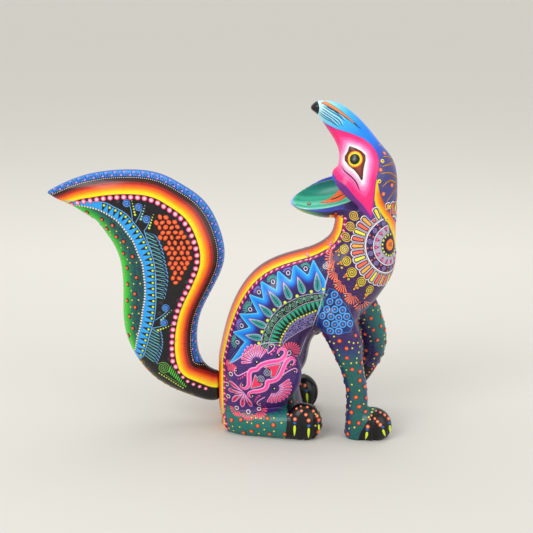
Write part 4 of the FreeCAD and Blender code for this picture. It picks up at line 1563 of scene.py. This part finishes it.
def make_grain():
    group, start, end = effect("Wood Grain", [("Ring Scale", 160.0)], ["Tone", "Height"])
    place = group.nodes.new("ShaderNodeTexCoord")
    stretch = group.nodes.new("ShaderNodeMapping")
    stretch.inputs["Scale"].default_value = (0.16, 1, 1)
    group.links.new(place.outputs["Object"], stretch.inputs["Vector"])
    rings = group.nodes.new("ShaderNodeTexWave")
    rings.inputs["Distortion"].default_value = 5
    rings.inputs["Detail"].default_value = 3
    group.links.new(stretch.outputs["Vector"], rings.inputs["Vector"])
    group.links.new(start.outputs["Ring Scale"], rings.inputs["Scale"])
    fibres = group.nodes.new("ShaderNodeTexNoise")
    fibres.inputs["Scale"].default_value = 900
    group.links.new(stretch.outputs["Vector"], fibres.inputs["Vector"])
    tone = math_node(group, "MULTIPLY", rings.outputs["Fac"], fibres.outputs["Fac"])
    group.links.new(tone, end.inputs["Tone"])
    group.links.new(fibres.outputs["Fac"], end.inputs["Height"])
    return group


brushwork, grain = make_brushwork(), make_grain()
speckle = make_cells("Speckle", 700.0, "Size", 0.3, 9.0)
foam = make_cells("Foam", 330.0, "Line", 0.1, 18.0, "DISTANCE_TO_EDGE")
print("effects:", [group.name for group in (brushwork, speckle, foam, grain)])

# %% [markdown]
# ## Coats of colour
# A coat starts as one ground and is covered zone by zone, the way the painter works. A zone reads
# two rulers: one says where it is, the other picks its colour from a blend measured in
# millimetres. The varnish is the clear coat of the shader.

# %% Build a coat
VARNISH = 0.3
EDGE_SOFTNESS = 0.22
GROUND_TOUCHES = (700.0, 0.34, 0.55)
ZONE_TOUCHES = (760.0, 0.36, 0.6)


def new_material(name):
    """A material with its node tree and its shader."""
    material = bpy.data.materials.new(name)
    material.use_nodes = True
    return material, material.node_tree, material.node_tree.nodes["Principled BSDF"]


def bumped(tree, shader, height, strength):
    """Raises the surface by a fine relief."""
    bump = tree.nodes.new("ShaderNodeBump")
    bump.inputs["Strength"].default_value = strength
    bump.inputs["Distance"].default_value = 0.0002
    tree.links.new(height, bump.inputs["Height"])
    tree.links.new(bump.outputs["Normal"], shader.inputs["Normal"])


class Coat:
    """A painted material that is covered zone by zone."""

    def __init__(self, name, ground, speck=None, streaks=220.0):
        self.material, self.tree, self.shader = new_material(name)
        self.colour = self.flat(ground)
        if speck:
            self.colour = self.touches(self.colour, speck, *GROUND_TOUCHES)
        self.streaks = streaks

    def flat(self, code):
        node = self.tree.nodes.new("ShaderNodeRGB")
        node.outputs[0].default_value = (*ink(code), 1)
        return node.outputs[0]

    def effect(self, group, **values):
        node = self.tree.nodes.new("ShaderNodeGroup")
        node.node_tree = group
        for label, value in values.items():
            node.inputs[label.replace("_", " ")].default_value = value
        return node

    def mix(self, mask, under, over):
        node = self.tree.nodes.new("ShaderNodeMix")
        node.data_type = "RGBA"
        self.tree.links.new(mask, node.inputs["Factor"])
        self.tree.links.new(under, node.inputs["A"])
        self.tree.links.new(over, node.inputs["B"])
        return node.outputs["Result"]

    def ruler(self, name):
        node = self.tree.nodes.new("ShaderNodeAttribute")
        node.attribute_name = name
        return node.outputs["Fac"]

    def blend(self, name, stops):
        """Colours along a ruler; stops are (millimetres, colour)."""
        low_end, high_end = stops[0][0], stops[-1][0]
        span = max(high_end - low_end, 1e-6)
        shifted = math_node(self.tree, "SUBTRACT", self.ruler(name), low_end)
        share = math_node(self.tree, "DIVIDE", shifted, span, clamp=True)
        node = self.tree.nodes.new("ShaderNodeValToRGB")
        self.tree.links.new(share, node.inputs["Fac"])
        elements = node.color_ramp.elements
        while len(elements) < len(stops):
            elements.new(0.5)
        for element, (place, code) in zip(elements, stops):
            element.position = (place - low_end) / span
            element.color = (*ink(code), 1)
        return node.outputs["Color"]

    def touches(self, under, code, scale, size, strength):
        """Lays a field of tiny touches over a colour."""
        node = self.effect(speckle, Scale=scale, Size=size)
        mask = math_node(self.tree, "MULTIPLY", node.outputs["Mask"], strength)
        return self.mix(mask, under, self.flat(code))

    def zone(self, where, tone, stops, speck=None, lines=None, limit=None):
        """Covers the area where a ruler is above zero, below limit if one is given."""
        over = self.blend(tone, stops)
        if speck:
            over = self.touches(over, speck, *ZONE_TOUCHES)
        if lines:
            node = self.effect(foam, Scale=lines[1], Line=0.12)
            over = self.mix(node.outputs["Mask"], over, self.flat(lines[0]))
        scaled = math_node(self.tree, "DIVIDE", self.ruler(where), EDGE_SOFTNESS)
        mask = math_node(self.tree, "ADD", scaled, 0.5, clamp=True)
        if limit is not None:
            room = math_node(self.tree, "SUBTRACT", limit, self.ruler(tone))
            near = math_node(self.tree, "MULTIPLY", room, 2.0, clamp=True)
            mask = math_node(self.tree, "MULTIPLY", mask, near)
        self.colour = self.mix(mask, self.colour, over)

    def varnished(self):
        """Adds brush marks and the varnish, and returns the finished material."""
        node = self.effect(brushwork, Streak_Scale=self.streaks, Strength=0.5)
        shade = self.tree.nodes.new("ShaderNodeMix")
        shade.data_type = "RGBA"
        shade.blend_type = "MULTIPLY"
        shade.inputs["Factor"].default_value = 1.0
        self.tree.links.new(self.colour, shade.inputs["A"])
        self.tree.links.new(node.outputs["Shade"], shade.inputs["B"])
        self.tree.links.new(shade.outputs["Result"], self.shader.inputs["Base Color"])
        self.tree.links.new(node.outputs["Roughness"], self.shader.inputs["Roughness"])
        bumped(self.tree, self.shader, node.outputs["Height"], 0.12)
        self.shader.inputs["Specular IOR Level"].default_value = 0.25
        self.shader.inputs["Coat Weight"].default_value = VARNISH
        self.shader.inputs["Coat Roughness"].default_value = 0.16
        return self.material


# %% [markdown]
# ## The rainbow of the back and the other zones
# The stops are read from the edge inwards, in millimetres. The back's band goes from maroon
# through red and orange to yellow, then a dark line and the violet bed of the pink dashes.

# %% Ground coats
RIDGE_BED = 11.2
RIDGE = [(0, "5c1a10"), (0.4, "8c2410"), (0.8, "d8400c"), (1.7, "f8600a"), (2.7, "ff8608"),
         (3.9, "ffac08"), (5.0, "ffd414"), (6.2, "ffe824"), (6.7, "e8bc18"), (7.0, "1c0a1c"),
         (7.4, "2a0c34"), (7.9, "a01c74"), (9.8, "8a1c74"), (10.3, "221244"), (11.4, "221244")]
ZIGZAG_BLUES = [(0, "8cdcfa"), (0.5, "3cbcf8"), (1.4, "169af0"), (3.4, "0f7ce0"), (5.0, "1454b8"),
                (6.4, "262a8c"), (8.0, "241a60"), (14.0, "241858")]
SHOULDER_BLUES = [(0, "4a9ce0"), (0.5, "16307c"), (10, "122458")]
PAW_BLACK = [(0, "0e0c0e"), (10, "0a090a")]


def rump_and_back(coat):
    coat.zone("flank", "flank", [(0, "c8b8d4"), (0.7, "b8a8c8"), (0.9, "2a2258"),
                                 (20, "2e2664")], speck="5c58a0")
    coat.zone("zigzag", "zigzag", ZIGZAG_BLUES)
    coat.zone("arch_top", "arch_top", [(0, "1c3c3c"), (4, "16302e"), (9, "101c1a")],
              speck="8cc8b0")
    coat.zone("arch_middle", "arch_middle", [(0, "060808"), (20, "060808")])
    coat.zone("arch_beads", "arch_beads", [(0, "0c0e0a"), (1.6, "0c0e0a"), (1.9, "2c2458"),
                                           (20, "2c2458")], lines=("8c80c0", 420.0))
    coat.zone("arch_low", "arch_low", [(0, "8c7ca4"), (0.6, "3a2258"), (30, "331a4c")])
    coat.zone("haunch", "haunch", [(0, "3f2678"), (3, "42246c"), (20, "401f66")], speck="6c4494")
    coat.zone("foot", "foot", [(-1, "2c2a5c"), (0.5, "1f5a62"), (3, "1c6e68"), (30, "1a6a62")],
              speck="2f8c80")
    coat.zone("hind_paw", "hind_paw", PAW_BLACK)
    return coat


def neck_zones(coat):
    coat.zone("crescent", "crescent_tone",
              [(0, "7a5a10"), (0.5, "e8c808"), (1.4, "ffd808"), (3.0, "ffac10"), (5.0, "fa7c14"),
               (7.0, "d85414"), (9.0, "8c2c14")])


body_coat = rump_and_back(Coat("body_paint", "3a1d56", speck="6c4080"))
neck_zones(body_coat)
body_coat.zone("ridge", "ridge", RIDGE, limit=RIDGE_BED)
body_coat.zone("patch", "patch", SHOULDER_BLUES)
head_coat = Coat("head_paint_coat", "4a4684", speck="6c6cb0")
head_coat.zone("jaw_zone", "jaw_run", [(0, "33205a"), (20, "33205a")], speck="5c4484")
neck_zones(head_coat)
MUZZLE_BLUES = [(0, "d8fbff"), (6, "bff6ff"), (16, "7fdcf6"), (30, "3cb4f2"), (46, "108cf6"),
                (60, "0f7cf4"), (70, "2c58cc"), (76, "4650a4"), (80, "4a4684")]
head_coat.zone("from_nose", "from_nose", MUZZLE_BLUES, limit=80)
head_coat.zone("lips", "lips", [(0, "7c2c8c"), (1.2, "6c2c84"), (20, "54246c")])
head_coat.zone("mask", "mask_tone", [(0, "8c2c94"), (0.03, "c42c94"), (0.07, "ff2478"),
                                     (0.33, "ff2f84"), (0.38, "ff4f9c"), (0.52, "ff5ca8"),
                                     (0.57, "ff80c0"), (0.72, "ff92cc"), (0.77, "fab8e0"),
                                     (0.88, "f4cce8"), (0.92, "f6ecf4"), (1, "faf4f8")])
head_coat.zone("throat", "ridge", RIDGE, limit=RIDGE_BED)
head_coat.zone("nose", "nose", [(0, "0c0c0e"), (5, "161618")])
head_coat.zone("bowl", "jaw_across", [(-14, "0f7c70"), (0, "3cb894"), (14, "8ce8c4")])
print("coats for the body and the head are mixed")

# %% Jaw, legs and tail coats
jaw_coat = Coat("jaw_paint_coat", "33205a")
jaw_coat.zone("jaw_zone", "jaw_run", [(0, "33205a"), (22, "3a2060"), (34, "28666a"),
                                      (46, "36a854"), (57, "a4dc38"), (68, "dcf44c")],
              speck="1c3c2c")
jaw_coat.zone("throat", "ridge", RIDGE, limit=RIDGE_BED)
jaw_coat.zone("lip_land", "jaw_run", [(0, "2c2c8c"), (30, "2c34a0"), (52, "5c6cd0"),
                                      (66, "b4c4f4")])
jaw_coat.zone("bowl", "jaw_across",
              [(-16, "0a6c68"), (-11, "12907c"), (-8, "0f8470"), (-5, "3cb894"), (-2, "22a484"),
               (2, "5cd0ac"), (6, "2cb090"), (10, "8ce8c4"), (13, "d4f8e4"), (16, "3cb8a0")])
leg_coat = Coat("standing_leg_paint", "1a5a58", speck="2f8478", streaks=260.0)
leg_coat.zone("leg_edge", "leg_edge", [(0, "1a5a58"), (3.0, "24406c"), (6.0, "34205c"),
                                       (30, "34205c")], speck="4c4484")
leg_coat.zone("fore_paw", "fore_paw", PAW_BLACK)
leg_coat.zone("patch", "patch", SHOULDER_BLUES)
raised_coat = Coat("raised_leg_paint", "1f625f", streaks=260.0)
raised_coat.zone("raised_tone", "raised_tone",
                 [(104, "2c1a48"), (117, "33245a"), (125, "1f5560"), (133, "1c6e66")],
                 speck="3a6a78")
raised_coat.zone("raised_paw", "raised_paw", PAW_BLACK)
RIM_BED = 24.4
TAIL_BANDS = [(0, "1450a8"), (1.2, "1c8cf0"), (4, "1a7ee4"), (5.3, "164a9c"), (5.6, "0c0a10"),
              (7.2, "0c080a"), (7.5, "321810"), (10.2, "4c1a10"), (10.5, "94201a"),
              (12.7, "a8221a"), (13.0, "d23c16"), (14.5, "e64a12"), (14.8, "fb6c08"),
              (16.7, "ff7a08"), (17.1, "ff9c04"), (19.0, "ffb408"), (19.4, "ffd400"),
              (22.3, "ffec14"), (22.8, "f0b810"), (23.2, "1c0c08"), (24.2, "100a0c")]
tail_coat = Coat("tail_paint_coat", "0f0c10", speck="302a2e")
tail_coat.zone("inner_field", "tail_edge", [(0, "2cb824"), (3, "34d41c"), (6.5, "22a034"),
                                            (10, "146058"), (14, "123e50")], speck="2c9c2c")
tail_coat.zone("azure_field", "azure_field", [(0, "1478c8"), (0.8, "22a0f4"), (5, "2aa8f8")])
tail_coat.zone("rim_zone", "rim", TAIL_BANDS, limit=RIM_BED)
finished = {"body": body_coat.varnished(), "head": head_coat.varnished(),
            "lower_jaw": jaw_coat.varnished(), "standing_foreleg": leg_coat.varnished(),
            "raised_foreleg": raised_coat.varnished(), "tail": tail_coat.varnished()}
print("finished coats:", sorted(finished))

# %% [markdown]
# ## Saw the skin back into its blocks
# The coats are continuous over the joints, but each block stays a piece of its own. The skin is
# cut along the same planes as the wood, and each block keeps the smooth shading of the whole.

# %% Saw the skin
SMOOTH_KEYS = ("smooth_x", "smooth_y", "smooth_z")
PLANES = [((0, 0, NECK_SEAM), (0, 0, 1)), ((0, 0, STANDING_SEAM), (0, 0, 1)),
          ((0, 0, RAISED_SEAM), (0, 0, 1)), ((0, -LEG_INNER, 0), (0, 1, 0)),
          ((0, LEG_INNER, 0), (0, 1, 0)), ((LEG_BACK, 0, 0), (1, 0, 0))]


def store(mesh, values):
    for name, row in values.items():
        attribute = mesh.attributes.new(name, "FLOAT", "POINT")
        attribute.data.foreach_set("value", np.asarray(row, np.float32))


def block_of(x, y, z):
    """The block that a spot of the figure's skin belongs to."""
    jaw_x, _, jaw_z = (np.array([x, y, z]) - JAW_START) @ jaw_axes
    if z > NECK_SEAM:
        return "lower_jaw" if jaw_x > JAW_SEAM and jaw_z < JAW_ROOF else "head"
    if x > LEG_BACK and y < -LEG_INNER and z < STANDING_SEAM:
        return "standing_foreleg"
    if x > LEG_BACK and y > LEG_INNER and z < RAISED_SEAM:
        return "raised_foreleg"
    return "body"


store(figure_skin, {**rulers, **dict(zip(SMOOTH_KEYS, figure_normals.T))})
store(tail_skin, {**tail_rulers, **dict(zip(SMOOTH_KEYS, normals_of(tail_skin).T))})
sawn = bmesh.new()
sawn.from_mesh(figure_skin)
for place, facing in PLANES:
    bmesh.ops.bisect_plane(sawn, geom=sawn.verts[:] + sawn.edges[:] + sawn.faces[:],
                           dist=1e-4, plane_co=place, plane_no=facing)
jaw_x_axis = Vector(jaw_axes[:, 0])
near_jaw = [face for face in sawn.faces if face.calc_center_median().z > NECK_SEAM - 0.5
            and ((np.array(face.calc_center_median()) - JAW_START) @ jaw_axes)[2] < 12]
edges = {edge for face in near_jaw for edge in face.edges}
verts = {vert for face in near_jaw for vert in face.verts}
bmesh.ops.bisect_plane(sawn, geom=list(verts) + list(edges) + near_jaw, dist=1e-4,
                       plane_co=Vector(JAW_START) + jaw_x_axis * JAW_SEAM,
                       plane_no=jaw_x_axis)
owner_layer = sawn.faces.layers.int.new("block")
for face in sawn.faces:
    face[owner_layer] = FIGURE_BLOCKS.index(block_of(*face.calc_center_median()))


def finish_block(cut, name, material, body, node):
    """Closes the sawn faces, restores smooth shading and hangs the block on its body."""
    bmesh.ops.holes_fill(cut, edges=[e for e in cut.edges if e.is_boundary], sides=0)
    mesh = bpy.data.meshes.new(name)
    bmesh.ops.triangulate(cut, faces=[f for f in cut.faces if len(f.verts) > 4])
    cut.normal_update()
    smooth = [cut.verts.layers.float[key] for key in SMOOTH_KEYS]
    saved = []
    for face in cut.faces:
        for vert in face.verts:
            kept = Vector([vert[key] for key in smooth])
            flat = kept.length < 0.2 or face.normal.dot(kept) < 0.3
            saved.append(face.normal.copy() if flat else kept.normalized())
    cut.to_mesh(mesh)
    cut.free()
    mesh.shade_smooth()
    mesh.normals_split_custom_set([tuple(normal) for normal in saved])
    mesh.transform(Matrix.Scale(MM, 4))
    mesh.materials.append(material)
    piece = into_scene(name, mesh)
    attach(piece, body)
    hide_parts(node)
    print(name, len(mesh.polygons), "faces")


for index, node in enumerate(FIGURE_BLOCKS):
    cut = sawn.copy()
    layer_here = cut.faces.layers.int["block"]
    bmesh.ops.delete(cut, geom=[f for f in cut.faces if f[layer_here] != index],
                     context="FACES")
    finish_block(cut, f"painted_{node}", finished[node], "figure", node)
sawn.free()
tail_cut = bmesh.new()
tail_cut.from_mesh(tail_skin)
finish_block(tail_cut, "painted_tail", finished["tail"], "tail", "tail")

# %% [markdown]
# ## Hang the raised paint on the figure
# Each layer of marks becomes one object. Its colours are stored on the points, and one material
# reads them, with thicker varnish than the ground so that every dot catches the light.

# %% Raised paint
def raised_material():
    coat = Coat("raised_acrylic", "ffffff", streaks=420.0)
    node = coat.tree.nodes.new("ShaderNodeAttribute")
    node.attribute_name = "paint_colour"
    coat.colour = node.outputs["Color"]
    material = coat.varnished()
    coat.shader.inputs["Coat Weight"].default_value = 0.45
    return material


acrylic = raised_material()


def hang_layer(name, body):
    marks = layers[name]
    mesh = bpy.data.meshes.new(name)
    mesh.from_pydata([point * MM for point in marks["points"]], [], marks["faces"])
    colours = mesh.attributes.new("paint_colour", "FLOAT_COLOR", "POINT")
    flat = np.ones((len(marks["points"]), 4), np.float32)
    flat[:, :3] = marks["colours"]
    colours.data.foreach_set("color", flat.ravel())
    tidy = bmesh.new()
    tidy.from_mesh(mesh)
    bmesh.ops.recalc_face_normals(tidy, faces=tidy.faces[:])
    tidy.to_mesh(mesh)
    tidy.free()
    mesh.shade_smooth()
    mesh.materials.append(acrylic)
    piece = into_scene(name, mesh)
    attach(piece, body)
    print(name, len(mesh.polygons), "faces")


for name in sorted(layers):
    hang_layer(name, "tail" if name.startswith("tail") else "figure")

# %% [markdown]
# ## Bare wood
# The pins and the tail's tenon are hardwood and stay unpainted, with a fine ring grain.

# %% Wood for the pins and the tenon
def wood_material():
    material, tree, shader = new_material("hardwood_pin")
    node = tree.nodes.new("ShaderNodeGroup")
    node.node_tree = grain
    tones = tree.nodes.new("ShaderNodeValToRGB")
    tones.color_ramp.elements[0].color = (*ink("8c5c34"), 1)
    tones.color_ramp.elements[1].color = (*ink("d8ac74"), 1)
    tones.color_ramp.elements[1].position = 0.6
    tree.links.new(node.outputs["Tone"], tones.inputs["Fac"])
    tree.links.new(tones.outputs["Color"], shader.inputs["Base Color"])
    bumped(tree, shader, node.outputs["Height"], 0.3)
    shader.inputs["Roughness"].default_value = 0.6
    return material


hardwood = wood_material()
for node in ("tail_tenon", "neck_dowel", "jaw_dowel", "standing_foreleg_dowel",
             "raised_foreleg_dowel"):
    mesh = frame["nodes"][node].data
    mesh.materials.clear()
    mesh.materials.append(hardwood)
print("bare wood on the tenon and four dowels")

# %% [markdown]
# ## The studio
# A pale sweep under soft light: a large key from the upper left, a broad fill from the right and
# a top light. The colours are shown as they are mixed, without a film look.

# %% Floor and lights
FLOOR_REACH = 50


def pale_floor():
    mesh = bpy.data.meshes.new("floor")
    mesh.from_pydata([(x * FLOOR_REACH, y * FLOOR_REACH, 0) for x, y in
                      ((-1, -1), (1, -1), (1, 1), (-1, 1))], [], [(0, 1, 2, 3)])
    floor = into_scene("floor", mesh)
    material, tree, shader = new_material("pale_paper_painted_falloff")
    place = tree.nodes.new("ShaderNodeTexCoord")
    axes = tree.nodes.new("ShaderNodeSeparateXYZ")
    tree.links.new(place.outputs["Object"], axes.inputs["Vector"])
    # The paper is painted darker in front of the figure and lighter towards the back: painted
    # shade and light for how the lamps fall on it.
    fade = tree.nodes.new("ShaderNodeMapRange")
    fade.inputs["From Min"].default_value = -0.1
    fade.inputs["From Max"].default_value = 0.7
    tree.links.new(axes.outputs["Y"], fade.inputs["Value"])
    tones = tree.nodes.new("ShaderNodeValToRGB")
    tones.color_ramp.elements[0].color = (*ink("d4d1ca"), 1)
    tones.color_ramp.elements[1].color = (*ink("e6e2da"), 1)
    tree.links.new(fade.outputs["Result"], tones.inputs["Fac"])
    tree.links.new(tones.outputs["Color"], shader.inputs["Base Color"])
    shader.inputs["Roughness"].default_value = 0.8
    mesh.materials.append(material)


def soft_light(name, place, size, power):
    data = bpy.data.lights.new(name, "AREA")
    data.size = size
    data.energy = power
    lamp = into_scene(name, data)
    lamp.location = place
    lamp.rotation_euler = (aim - Vector(place)).to_track_quat("-Z", "Y").to_euler()


pale_floor()
soft_light("key_softbox", (-0.9, -1.1, 1.3), 0.9, 12)
soft_light("fill_softbox", (1.2, -1.0, 0.7), 1.1, 5)
soft_light("top_softbox", (0.1, 0.4, 1.7), 1.2, 6)
world = bpy.data.worlds.new("studio_air")
world.use_nodes = True
world.node_tree.nodes["Background"].inputs["Color"].default_value = (*ink("e6e6e4"), 1)
world.node_tree.nodes["Background"].inputs["Strength"].default_value = 1.0
scene.world = world
scene.view_settings.view_transform = "Standard"

# %% [markdown]
# ## Measure and finish
# The painted figure should stay inside the carved box; the carved box is printed.

# %% Finish
print("carved box", [[round(v, 4) for v in corner] for corner in cad_box])
